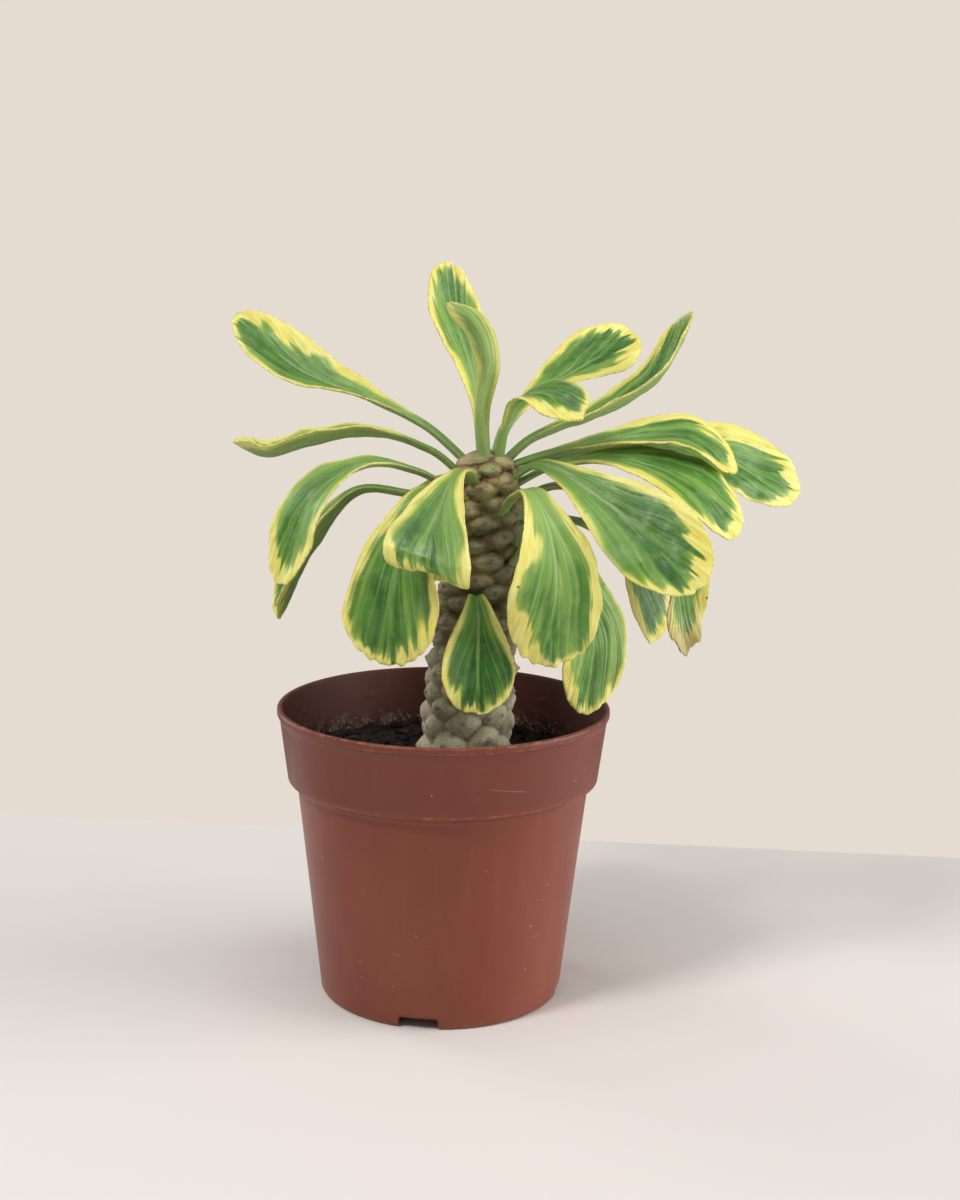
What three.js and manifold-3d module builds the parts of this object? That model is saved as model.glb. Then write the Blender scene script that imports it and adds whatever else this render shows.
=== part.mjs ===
// A potted euphorbia: a variegated, spoon-leaved succulent on one thick knobbly stem,
// growing in a nursery pot of brown plastic. Millimetres, +Z up. The plant is laid out
// from the pot's axis and foot, and the finished group is shifted so that its origin is
// the bottom centre of everything.

import * as THREE from 'three';
import { mergeVertices } from 'three/addons/utils/BufferGeometryUtils.js';
import Module from 'manifold-3d';

// ---- Driving dimensions: pot ------------------------------------------------------

const POT_HEIGHT = 115.5;
const RIM_RADIUS = 65;          // outside of the lip
const RIM_BAND_HEIGHT = 25;     // the stiffened band under the lip
const RIM_BAND_LEAN = 3.2;      // how much narrower the band is at its lower end
const RIM_STEP = 3.6;           // how far the body stands in from the band
const RIM_STEP_HEIGHT = 3.5;
const LIP_HEIGHT = 3;
const LIP_PROUD = 0.9;          // the lip bead stands out from the band
const LIP_ROUND = 0.6;          // its rounded corners
const FOOT_RADIUS = 48;
const FOOT_ROUND = 2;
const POT_WALL = 1.2;
const FLOOR_HEIGHT = 5;         // the floor is raised above the foot ring
const FLOOR_THICKNESS = 2;
const FOOT_RING_WIDTH = 5;
const NOTCH_COUNT = 4;
const NOTCH_WIDTH = 15.5;
const NOTCH_HEIGHT = 4.6;
const NOTCH_FIRST_ANGLE = 260;  // degrees round from +X
const DRAIN_COUNT = 6;
const DRAIN_RADIUS = 4;
const DRAIN_CIRCLE_RADIUS = 32;
const POT_SIDES = 48;

// ---- Driving dimensions: soil -----------------------------------------------------

const SOIL_BELOW_RIM = 20.5;
const SOIL_CROWN = 1.6;         // the soil heaps a little towards the stem
const SOIL_SHOULDER = 0.6;      // share of the radius where the heap flattens
const SOIL_SHOULDER_DROP = 0.5;
const SEAT_GAP = 0.3;           // between any two pieces that touch

// ---- Driving dimensions: stem -----------------------------------------------------

const STEM_HEIGHT = 121;        // above the soil
const STEM_BASE_RADIUS = 15.8;  // without its knobs
const STEM_MID_RADIUS = 12.4;
const STEM_TOP_RADIUS = 10;
const STEM_BASE_X = 8.5;        // where the stem leaves the soil, off the pot's axis
const STEM_LEAN = 7;            // how far it leans to +X on its way up
const CROWN_HEIGHT = 9;         // the rounded top of the stem
const ROOT_DEPTH = 50;          // the buried end of the stem
const ROOT_TIP_RADIUS = 5;
const KNOB_RISE = 1.02;         // each knob sits this much above the last
const KNOB_TURN = 137.5;        // degrees between knobs: the golden angle
const KNOB_RADIUS = 6.4;
const KNOB_HEIGHT = 2;
const STEM_SIDES = 32;
const ROOT_RINGS = 6;
const STEM_RINGS = 27;
const CROWN_RINGS = 5;

// ---- Driving dimensions: leaves ---------------------------------------------------

const STALK_HALF_WIDTH = 2.7;
const STALK_THICKNESS = 3.2;
const BLADE_THICKNESS = 1.7;
const BLADE_FULL = 0.76;        // share of the leaf's length where it is widest
const BLADE_ROUND_FROM = 0.7;   // where the tip's rounding starts
const TIP_ROUNDNESS = 2.3;
const TIP_HALF_WIDTH = 0.7;
const LEAF_STATIONS = 10;
const LEAF_SIDES = 8;
const LEAF_ROOT_DEPTH = 4;      // the stalk is drawn from inside the stem, then trimmed
const WIDENING_POWER = 1.1;     // above 1, the blade widens later along the stalk
const THINNING_RUN = 0.25;      // share of the length over which the stalk thins to blade
const NARROW_THINNING = 0.5;    // how far a narrow place is thinner than a wide one
const FOLD_SOFTNESS = 0.25;     // rounds the crease of a folded leaf

// Each leaf grows from the stem at `around` degrees from +X and `below` the stem's top.
// Its midrib runs through `path`, a list of [outwards, sideways, up] from that place.
// `roll` and `fold` are in degrees, at the stalk and at the tip: roll turns the blade
// about its midrib, and fold closes its two halves upwards. `from` is the share of the
// length where the stalk starts to widen. `blunt` squares off a leaf's tip.
const LEAVES = [
  { name: 'leaf_01', around: 269, below: 58, width: 29, from: 0.1,
    path: [[8, 0, 4], [17, 1, -3], [24, 1, -18], [27, 1, -36]], roll: [0, 0], fold: [30, 15] },
  { name: 'leaf_02', around: 335, below: 46, width: 29, from: 0.25,
    path: [[12, 0, 14], [26, 0, 10], [36, 0, -18], [35, -3, -52]], roll: [0, 45], fold: [20, 10] },
  { name: 'leaf_03', around: 128, below: 42, width: 30, from: 0.25,
    path: [[14, 0, 5], [32, 0, 2], [46, 0, -18], [50, 0, -44]], roll: [0, 0], fold: [20, 10] },
  { name: 'leaf_04', around: 14, below: 31, width: 27, from: 0.3,
    path: [[16, 0, 4], [36, 0, -2], [53, 0, -22], [62, 0, -47]], roll: [0, 60], fold: [25, 15] },
  { name: 'leaf_05', around: 72, below: 28, width: 30, from: 0.25,
    path: [[14, 0, 6], [34, 0, 2], [50, 0, -18], [56, 0, -46]], roll: [0, 0], fold: [20, 10] },
  { name: 'leaf_06', around: 228, below: 22, width: 36, from: 0.15,
    path: [[12, 0, 8], [26, 0, 6], [37, 0, -18], [41, 0, -54]], roll: [0, -35], fold: [20, 5] },
  { name: 'leaf_07', around: 306, below: 24, width: 35, from: 0.15,
    path: [[10, 0, 9], [24, -2, 10], [39, -4, -14], [38, -7, -50]], roll: [0, 38], fold: [10, 5] },
  { name: 'leaf_08', around: 175, below: 21, width: 25, from: 0.3,
    path: [[18, 0, 3], [38, 0, 3], [54, 0, -17], [69, 0, -47]], roll: [0, -20], fold: [45, 45] },
  { name: 'leaf_09', around: 4, below: 22, width: 26, from: 0.35,
    path: [[18, 0, 8], [42, 0, 1], [63, 0, -20], [70, 0, -57]], roll: [0, 60], fold: [35, 30] },
  { name: 'leaf_10', around: 108, below: 20, width: 32, from: 0.2,
    path: [[15, 0, 6], [34, 0, 2], [52, 0, -13], [62, 0, -37]], roll: [0, 0], fold: [20, 5] },
  { name: 'leaf_11', around: 205, below: 17, width: 25, from: 0.25,
    path: [[18, 0, 10], [40, 0, 13], [61, 0, 0], [72, 0, -30]], roll: [-5, -22], fold: [30, 10] },
  { name: 'leaf_12', around: 348, below: 14, width: 31, from: 0.15,
    path: [[17, 0, 9], [42, 0, 12], [68, 0, 4], [86, 0, -15]], roll: [8, 32], fold: [15, 5] },
  { name: 'leaf_13', around: 246, below: 12, width: 35, from: 0.1, blunt: 4.5,
    path: [[10, 0, 6], [28, 2, 3], [46, 4, -12], [58, 6, -29]], roll: [0, 0], fold: [20, 8] },
  { name: 'leaf_14', around: 326, below: 12, width: 36, from: 0.12,
    path: [[15, 0, 8], [40, 0, -2], [63, 0, -16], [84, 0, -30]], roll: [25, 55], fold: [15, 5] },
  { name: 'leaf_15', around: 180, below: 9, width: 22, from: 0.2,
    path: [[12, 0, 9], [34, 0, 15], [56, 0, 11], [72, 0, 6], [85, 0, 11]], roll: [0, 0],
    fold: [30, 35] },
  { name: 'leaf_16', around: 14, below: 10, width: 34, from: 0.35,
    path: [[20, 0, 7], [55, 0, 12], [90, 0, 5], [121, 0, -9]], roll: [0, 60], fold: [20, 5] },
  { name: 'leaf_17', around: 155, below: 5, width: 28, from: 0.22,
    path: [[18, 0, 13], [44, 0, 23], [71, 0, 31], [101, 0, 52]], roll: [0, -38], fold: [40, 15] },
  { name: 'leaf_18', around: 0, below: 6, width: 28, from: 0.15,
    path: [[15, 0, 5], [42, 0, 11], [68, 0, 12], [86, 0, -2]], roll: [10, 25], fold: [15, 10] },
  { name: 'leaf_19', around: 31, below: 5, width: 21, from: 0.1,
    path: [[14, 0, 9], [44, 0, 17], [72, 0, 30], [89, 0, 56]], roll: [0, 5], fold: [50, 45] },
  { name: 'leaf_20', around: 262, below: 2, width: 12, from: 0.1,
    path: [[3, -1, 18], [5, 1, 36], [6, -4, 50], [4, -14, 57]], roll: [0, 0], fold: [40, 30] },
  { name: 'leaf_21', around: 320, below: 2, width: 23, from: 0.2,
    path: [[3, 0, 12], [9, 0, 22], [22, 0, 25], [38, 0, 18]], roll: [0, 30], fold: [20, 5] },
  { name: 'leaf_22', around: 51, below: 2, width: 29, from: 0.15,
    path: [[7, 0, 11], [27, 0, 22], [56, 0, 31], [92, 0, 43]], roll: [0, 32], fold: [20, 10] },
  { name: 'leaf_23', around: 116, below: 1, width: 23, from: 0.12,
    path: [[8, -2, 17], [20, -3, 36], [28, 0, 54], [33, 1, 71]], roll: [0, 0], fold: [25, 10] },
];

// ---- Colours ----------------------------------------------------------------------

const POT_COLOUR = 0x9a5c4b;
const SOIL_COLOUR = 0x241a14;
const STEM_COLOUR = 0x8c8468;
const LEAF_COLOUR = 0x5c8a48;

// ---- Helpers ----------------------------------------------------------------------

const wasm = await Module();
wasm.setup();

const radians = THREE.MathUtils.degToRad;
const mix = THREE.MathUtils.lerp;
const smooth = (from, to, value) => THREE.MathUtils.smoothstep(value, from, to);

function toSolid(geometry) {
  const bare = geometry.clone();
  bare.deleteAttribute('normal');
  bare.deleteAttribute('uv');
  const merged = mergeVertices(bare, 1e-4);
  return new wasm.Manifold(new wasm.Mesh({
    numProp: 3,
    vertProperties: new Float32Array(merged.attributes.position.array),
    triVerts: new Uint32Array(merged.index.array),
  }));
}

function toGeometry(solid) {
  const mesh = solid.getMesh();
  const geometry = new THREE.BufferGeometry();
  geometry.setAttribute('position', new THREE.BufferAttribute(mesh.vertProperties, 3));
  geometry.setIndex(new THREE.BufferAttribute(mesh.triVerts, 1));
  geometry.computeVertexNormals();
  return geometry;
}

// A lathe about +Z, from [radius, height] points that run anticlockwise round the section.
function turned(profile, sides) {
  const points = profile.map(([radius, height]) => new THREE.Vector2(radius, height));
  return new THREE.LatheGeometry(points, sides).rotateX(Math.PI / 2);
}

function piece(name, geometry, colour, roughness) {
  const material = new THREE.MeshStandardMaterial({ color: colour, roughness, metalness: 0 });
  const mesh = new THREE.Mesh(geometry, material);
  mesh.name = name;
  return mesh;
}

// A closed body through rings of equal length, from the first ring to the last.
function closedRings(rings) {
  const count = rings[0].length;
  const positions = rings.flat().flatMap((point) => point.toArray());
  const faces = [];
  for (let ring = 0; ring + 1 < rings.length; ring += 1) {
    for (let side = 0; side < count; side += 1) {
      const next = (side + 1) % count;
      const here = ring * count;
      const there = here + count;
      faces.push(here + side, here + next, there + next);
      faces.push(here + side, there + next, there + side);
    }
  }
  const last = (rings.length - 1) * count;
  for (let side = 1; side + 1 < count; side += 1) {
    faces.push(0, side + 1, side);
    faces.push(last, last + side, last + side + 1);
  }
  const geometry = new THREE.BufferGeometry();
  geometry.setAttribute('position', new THREE.Float32BufferAttribute(positions, 3));
  geometry.setIndex(faces);
  return geometry;
}

// ---- Pot --------------------------------------------------------------------------

const bandBottom = POT_HEIGHT - LIP_HEIGHT - RIM_BAND_HEIGHT;
const bandTopRadius = RIM_RADIUS - LIP_PROUD;
const bandBottomRadius = bandTopRadius - RIM_BAND_LEAN;
const bodyTop = bandBottom - RIM_STEP_HEIGHT;
const bodyTopRadius = bandBottomRadius - RIM_STEP;
const bandRun = POT_HEIGHT - bandBottom;
const floorTop = FLOOR_HEIGHT + FLOOR_THICKNESS;

// Outside radius of the pot's tapered body.
function bodyRadius(height) {
  return mix(FOOT_RADIUS, bodyTopRadius, height / bodyTop);
}

// Radius of the pot's inner face.
function innerRadius(height) {
  const inBody = bodyRadius(height) - POT_WALL;
  const inBand = mix(bandBottomRadius, bandTopRadius, (height - bandBottom) / bandRun);
  return mix(inBody, inBand - POT_WALL, smooth(bodyTop, bandBottom, height));
}

function makePot() {
  const outside = [
    [FOOT_RADIUS - FOOT_ROUND, 0],
    [FOOT_RADIUS, FOOT_ROUND],
    [bodyTopRadius, bodyTop],
    ...[1, 2, 3].map((step) => {
      const turn = step / 3 * Math.PI / 2;
      const out = bodyTopRadius + RIM_STEP * Math.sin(turn);
      return [out, bandBottom - RIM_STEP_HEIGHT * Math.cos(turn)];
    }),
    [bandTopRadius, POT_HEIGHT - LIP_HEIGHT],
    [RIM_RADIUS, POT_HEIGHT - LIP_HEIGHT + LIP_ROUND],
    [RIM_RADIUS, POT_HEIGHT - LIP_ROUND],
    [RIM_RADIUS - LIP_ROUND, POT_HEIGHT],
  ];
  const inside = [
    [bandTopRadius - POT_WALL, POT_HEIGHT],
    [innerRadius(bandBottom), bandBottom],
    [innerRadius(bodyTop), bodyTop],
    [innerRadius(floorTop), floorTop],
    [0, floorTop],
    [0, FLOOR_HEIGHT],
    [FOOT_RADIUS - FOOT_RING_WIDTH, FLOOR_HEIGHT],
    [FOOT_RADIUS - FOOT_RING_WIDTH, 0],
  ];
  const profile = [...outside, ...inside, outside[0]];
  let pot = toSolid(turned(profile, POT_SIDES));
  for (let index = 0; index < NOTCH_COUNT; index += 1) {
    const notch = new THREE.BoxGeometry(4 * FOOT_RING_WIDTH, NOTCH_WIDTH, 2 * NOTCH_HEIGHT);
    notch.translate(FOOT_RADIUS, 0, 0);
    notch.rotateZ(radians(NOTCH_FIRST_ANGLE + index * 360 / NOTCH_COUNT));
    pot = pot.subtract(toSolid(notch));
  }
  for (let index = 0; index < DRAIN_COUNT; index += 1) {
    const hole = new THREE.CylinderGeometry(DRAIN_RADIUS, DRAIN_RADIUS, 4 * FLOOR_HEIGHT, 16);
    hole.rotateX(Math.PI / 2);
    hole.translate(DRAIN_CIRCLE_RADIUS, 0, FLOOR_HEIGHT);
    hole.rotateZ(radians((index + 0.5) * 360 / DRAIN_COUNT));
    pot = pot.subtract(toSolid(hole));
  }
  return piece('pot', toGeometry(pot), POT_COLOUR, 0.45);
}

// ---- Stem -------------------------------------------------------------------------

const soilTop = POT_HEIGHT - SOIL_BELOW_RIM;
const stemTop = soilTop + STEM_HEIGHT;
const rootBottom = soilTop - ROOT_DEPTH;

function stemCentreX(height) {
  return STEM_BASE_X + STEM_LEAN * (height - soilTop) / STEM_HEIGHT;
}

// Radius of the stem without its knobs: a tapered root, a slowly narrowing stem and a
// rounded crown.
function stemRadius(height) {
  if (height <= soilTop) {
    const share = (height - rootBottom) / ROOT_DEPTH;
    return mix(ROOT_TIP_RADIUS, STEM_BASE_RADIUS, Math.sqrt(Math.max(share, 0)));
  }
  const share = (height - soilTop) / STEM_HEIGHT;
  const plain = share < 0.5
    ? mix(STEM_BASE_RADIUS, STEM_MID_RADIUS, share * 2)
    : mix(STEM_MID_RADIUS, STEM_TOP_RADIUS, share * 2 - 1);
  const intoCrown = Math.max(0, height - (stemTop - CROWN_HEIGHT)) / CROWN_HEIGHT;
  return plain * Math.sqrt(Math.max(0, 1 - intoCrown ** 2));
}

// How far the knobs raise the stem's skin at an angle and a height.
function knobLift(angle, height) {
  const radius = Math.max(stemRadius(height), 1);
  const nearest = Math.round((height - soilTop) / KNOB_RISE);
  const reach = Math.ceil(KNOB_RADIUS / KNOB_RISE);
  let lift = 0;
  for (let knob = nearest - reach; knob <= nearest + reach; knob += 1) {
    const turn = angle - radians(knob * KNOB_TURN);
    const across = radius * Math.atan2(Math.sin(turn), Math.cos(turn));
    const along = height - (soilTop + knob * KNOB_RISE);
    const share = Math.hypot(across, along) / KNOB_RADIUS;
    lift = Math.max(lift, KNOB_HEIGHT * (1 - share ** 2));
  }
  const fadeAtCrown = 1 - smooth(stemTop - CROWN_HEIGHT, stemTop, height);
  const fadeAtRoot = smooth(soilTop - ROOT_DEPTH / 2, soilTop, height);
  return lift * fadeAtCrown * fadeAtRoot;
}

// Heights of the stem's rings: evenly up the root and the stem, closing up at the crown.
function ringHeights() {
  const crownBottom = stemTop - CROWN_HEIGHT;
  const heights = [];
  for (let ring = 0; ring < ROOT_RINGS; ring += 1) {
    heights.push(mix(rootBottom, soilTop, ring / ROOT_RINGS));
  }
  for (let ring = 0; ring < STEM_RINGS; ring += 1) {
    heights.push(mix(soilTop, crownBottom, ring / STEM_RINGS));
  }
  for (let ring = 0; ring < CROWN_RINGS; ring += 1) {
    heights.push(crownBottom + CROWN_HEIGHT * Math.sin(ring / CROWN_RINGS * Math.PI / 2));
  }
  return heights;
}

// The stem as a solid; `grown` adds a clearance all round, for trimming its neighbours.
function stemSolid(grown = 0) {
  const profile = ringHeights().map((height) => {
    const share = (height - rootBottom) / (stemTop - rootBottom);
    return [stemRadius(height) + grown, height + grown * (2 * share ** 2 - 1)];
  });
  profile.unshift([0, rootBottom - grown]);
  profile.push([0, stemTop + grown]);
  const geometry = turned(profile, STEM_SIDES);
  const place = geometry.attributes.position;
  for (let index = 0; index < place.count; index += 1) {
    const x = place.getX(index);
    const y = place.getY(index);
    const height = place.getZ(index);
    const radius = Math.max(Math.hypot(x, y), 1e-6);
    const scale = 1 + knobLift(Math.atan2(y, x), height) / radius;
    place.setXYZ(index, x * scale + stemCentreX(height), y * scale, height);
  }
  return toSolid(geometry);
}

// ---- Soil -------------------------------------------------------------------------

function makeSoil(stemKeepOut) {
  const soilEdge = soilTop - SOIL_CROWN;
  const profile = [
    [0, floorTop + SEAT_GAP],
    [innerRadius(floorTop) - SEAT_GAP, floorTop + SEAT_GAP],
    [innerRadius(bodyTop) - SEAT_GAP, bodyTop],
    [innerRadius(bandBottom) - SEAT_GAP, bandBottom],
    [innerRadius(soilEdge) - SEAT_GAP, soilEdge],
    [innerRadius(soilEdge) * SOIL_SHOULDER, soilTop - SOIL_SHOULDER_DROP],
    [0, soilTop],
  ];
  const soil = toSolid(turned(profile, POT_SIDES)).subtract(stemKeepOut);
  return piece('soil', toGeometry(soil), SOIL_COLOUR, 0.95);
}

// ---- Leaves -----------------------------------------------------------------------

function halfWidth(leaf, along) {
  const spread = smooth(leaf.from, BLADE_FULL, along) ** WIDENING_POWER;
  const plain = mix(STALK_HALF_WIDTH, leaf.width / 2, spread);
  const intoTip = Math.max(0, along - BLADE_ROUND_FROM) / (1 - BLADE_ROUND_FROM);
  const roundness = leaf.blunt ?? TIP_ROUNDNESS;
  const rounded = plain * Math.sqrt(Math.max(0, 1 - intoTip ** roundness));
  return Math.max(rounded, TIP_HALF_WIDTH);
}

// The midrib of a leaf, from inside the stem to its tip.
function midrib(leaf) {
  const turn = radians(leaf.around);
  const outwards = new THREE.Vector3(Math.cos(turn), Math.sin(turn), 0);
  const sideways = new THREE.Vector3(-Math.sin(turn), Math.cos(turn), 0);
  const height = stemTop - leaf.below;
  const start = new THREE.Vector3(stemCentreX(height), 0, height)
    .addScaledVector(outwards, stemRadius(height));
  const points = leaf.path.map(([out, side, up]) => start.clone()
    .addScaledVector(outwards, out)
    .addScaledVector(sideways, side)
    .add(new THREE.Vector3(0, 0, up)));
  const inwards = points[0].clone().sub(start).normalize().multiplyScalar(-LEAF_ROOT_DEPTH);
  const curve = new THREE.CatmullRomCurve3(
    [start.clone().add(inwards), start, ...points], false, 'catmullrom', 0.5);
  return { curve, sideways };
}

function leafRing(leaf, curve, sideways, along) {
  const centre = curve.getPointAt(along);
  const tangent = curve.getTangentAt(along);
  const level = sideways.clone().addScaledVector(tangent, -tangent.dot(sideways)).normalize();
  const upright = tangent.clone().cross(level);
  const roll = radians(mix(leaf.roll[0], leaf.roll[1], smooth(0, 1, along)));
  const across = level.clone().multiplyScalar(Math.cos(roll))
    .addScaledVector(upright, Math.sin(roll));
  const normal = tangent.clone().cross(across);
  const fold = radians(mix(leaf.fold[0], leaf.fold[1], along));
  const half = halfWidth(leaf, along);
  const toBlade = smooth(leaf.from / 2, leaf.from + THINNING_RUN, along);
  const thickness = mix(STALK_THICKNESS, BLADE_THICKNESS, toBlade)
    * mix(NARROW_THINNING, 1, half / leaf.width);
  const ring = [];
  for (let side = 0; side < LEAF_SIDES; side += 1) {
    const turn = side / LEAF_SIDES * 2 * Math.PI;
    const share = Math.cos(turn);
    const bend = Math.hypot(share, FOLD_SOFTNESS);
    const lift = (bend - FOLD_SOFTNESS) * Math.sin(fold) * half;
    const skin = normal.clone().multiplyScalar(Math.cos(fold))
      .addScaledVector(across, -Math.sin(fold) * share / bend).normalize();
    ring.push(centre.clone()
      .addScaledVector(across, half * share * Math.cos(fold))
      .addScaledVector(normal, lift)
      .addScaledVector(skin, Math.sin(turn) * thickness / 2));
  }
  return ring;
}

function makeLeaf(leaf, stemKeepOut) {
  const { curve, sideways } = midrib(leaf);
  const rings = [];
  for (let station = 0; station <= LEAF_STATIONS; station += 1) {
    const along = Math.sin(Math.PI / 2 * station / LEAF_STATIONS);
    rings.push(leafRing(leaf, curve, sideways, along));
  }
  const solid = toSolid(closedRings(rings)).subtract(stemKeepOut);
  return piece(leaf.name, toGeometry(solid), LEAF_COLOUR, 0.4);
}

// ---- Assembly ---------------------------------------------------------------------

const plant = new THREE.Group();
const stemKeepOut = stemSolid(SEAT_GAP);
plant.add(makePot());
plant.add(makeSoil(stemKeepOut));
plant.add(piece('stem', toGeometry(stemSolid()), STEM_COLOUR, 0.8));
for (const leaf of LEAVES) {
  plant.add(makeLeaf(leaf, stemKeepOut));
}

plant.updateMatrixWorld(true);
const extent = new THREE.Box3().setFromObject(plant, true);
const middle = extent.getCenter(new THREE.Vector3());
plant.position.set(-middle.x, -middle.y, -extent.min.z);
plant.updateMatrixWorld(true);

export default plant;
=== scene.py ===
"""The looks of a potted euphorbia: variegated spoon leaves on a knobbly stem, in potting
soil, in a brown plastic nursery pot. Every piece is built in mesh code around the frame."""

import math
import random
from dataclasses import dataclass

import bmesh
import bpy
import numpy as np
from mathutils import Matrix, Vector, noise


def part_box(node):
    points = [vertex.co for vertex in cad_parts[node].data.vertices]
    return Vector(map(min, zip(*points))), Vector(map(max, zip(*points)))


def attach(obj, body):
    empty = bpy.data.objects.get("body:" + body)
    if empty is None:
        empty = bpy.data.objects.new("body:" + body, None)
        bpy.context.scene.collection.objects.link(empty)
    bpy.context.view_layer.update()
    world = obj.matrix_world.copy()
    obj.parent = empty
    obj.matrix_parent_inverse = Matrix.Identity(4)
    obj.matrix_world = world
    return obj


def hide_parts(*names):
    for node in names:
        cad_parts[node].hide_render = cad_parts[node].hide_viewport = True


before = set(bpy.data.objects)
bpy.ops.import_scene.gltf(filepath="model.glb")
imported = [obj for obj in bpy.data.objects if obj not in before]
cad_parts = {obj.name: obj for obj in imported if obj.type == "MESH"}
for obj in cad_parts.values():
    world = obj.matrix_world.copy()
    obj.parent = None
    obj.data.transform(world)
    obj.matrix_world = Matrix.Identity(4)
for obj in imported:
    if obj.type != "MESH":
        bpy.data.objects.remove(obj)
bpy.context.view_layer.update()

MM = 0.001

# ---- Sizes, in millimetres from the pot's axis and foot ---------------------------------

POT_LOW, POT_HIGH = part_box("pot")
STEM_LOW, STEM_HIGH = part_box("stem")
AXIS_X = (POT_LOW[0] + POT_HIGH[0]) / 2 / MM
AXIS_Y = (POT_LOW[1] + POT_HIGH[1]) / 2 / MM

POT_HEIGHT = (POT_HIGH[2] - POT_LOW[2]) / MM
RIM_RADIUS = (POT_HIGH[0] - POT_LOW[0]) / 2 / MM
RIM_BAND_HEIGHT = 25
RIM_BAND_LEAN = 3.2
RIM_STEP = 3.6
RIM_STEP_HEIGHT = 3.5
LIP_HEIGHT = 3
LIP_PROUD = 0.9
FOOT_RADIUS = 48
FOOT_ROUND = 2
POT_WALL = 1.2
FLOOR_HEIGHT = 5
FLOOR_THICKNESS = 2
FOOT_RING_WIDTH = 5
NOTCH_COUNT = 4
NOTCH_WIDTH = 15.5
NOTCH_HEIGHT = 4.6
NOTCH_ROUND = 1.5
NOTCH_FIRST_ANGLE = 260
DRAIN_COUNT = 6
DRAIN_RADIUS = 4
DRAIN_CIRCLE_RADIUS = 32

SOIL_BELOW_RIM = 20.5
SOIL_TOP = POT_HEIGHT - SOIL_BELOW_RIM

STEM_TOP = STEM_HIGH[2] / MM
ROOT_BOTTOM = STEM_LOW[2] / MM
STEM_HEIGHT = STEM_TOP - SOIL_TOP
STEM_BASE_RADIUS = 15.8
STEM_MID_RADIUS = 12.4
STEM_TOP_RADIUS = 10
STEM_BASE_X = 8.5
STEM_LEAN = 7
CROWN_HEIGHT = 9
ROOT_TIP_RADIUS = 5
KNOB_RISE = 1.02
KNOB_TURN = 137.5
KNOB_RADIUS = 6.7
KNOB_HEIGHT = 4.0
KNOB_SQUARENESS = 1.7
FRESH_KNOBS_AT = 285
FRESH_KNOBS_DOWN = 8

STALK_HALF_WIDTH = 2.7
STALK_THICKNESS = 3.4
BLADE_THICKNESS = 1.35
BLADE_ROUND_FROM = 0.7
TIP_HALF_WIDTH = 0.4
LEAF_ROOT_DEPTH = 4
THINNING_RUN = 0.25
FOLD_SOFTNESS = 0.25


@dataclass
class Leaf:
    """One leaf, laid out as in the part's source, with what only the visual model has."""

    around: float           # where it grows round the stem, in degrees
    below: float            # and how far below the stem's top
    width: float
    start: float            # share of the length at which the blade starts
    path: list              # what the midrib runs through: [outwards, sideways, up]
    roll: tuple             # turn about the midrib, in degrees, at the stalk and at the tip
    fold: tuple             # slope of each half of the blade, in degrees, in the same places
    margin: tuple           # width of the yellow on the - side, the + side and the tip
    wave: float             # how far the margin ripples
    tone: float             # from 0, deep green, to 1, pale
    full: float = 0.76      # share of the length at which the blade is widest
    power: float = 1.1      # how late it widens
    blunt: float = 2.3      # how square its tip is
    lobes: float = 0.5      # depth of the tip's scallops, one between each two veins
    torn: float = 1.0       # depth of its irregular notches
    pucker: float = 0.6     # height of the swellings
    folded_from: float = 0  # share of the length from which the tip is folded under, if any
    skew: float = 0         # how far the + side of the blade is ahead of the - side
    dry: float = 0          # 1 withers the tip and the - side


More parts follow.
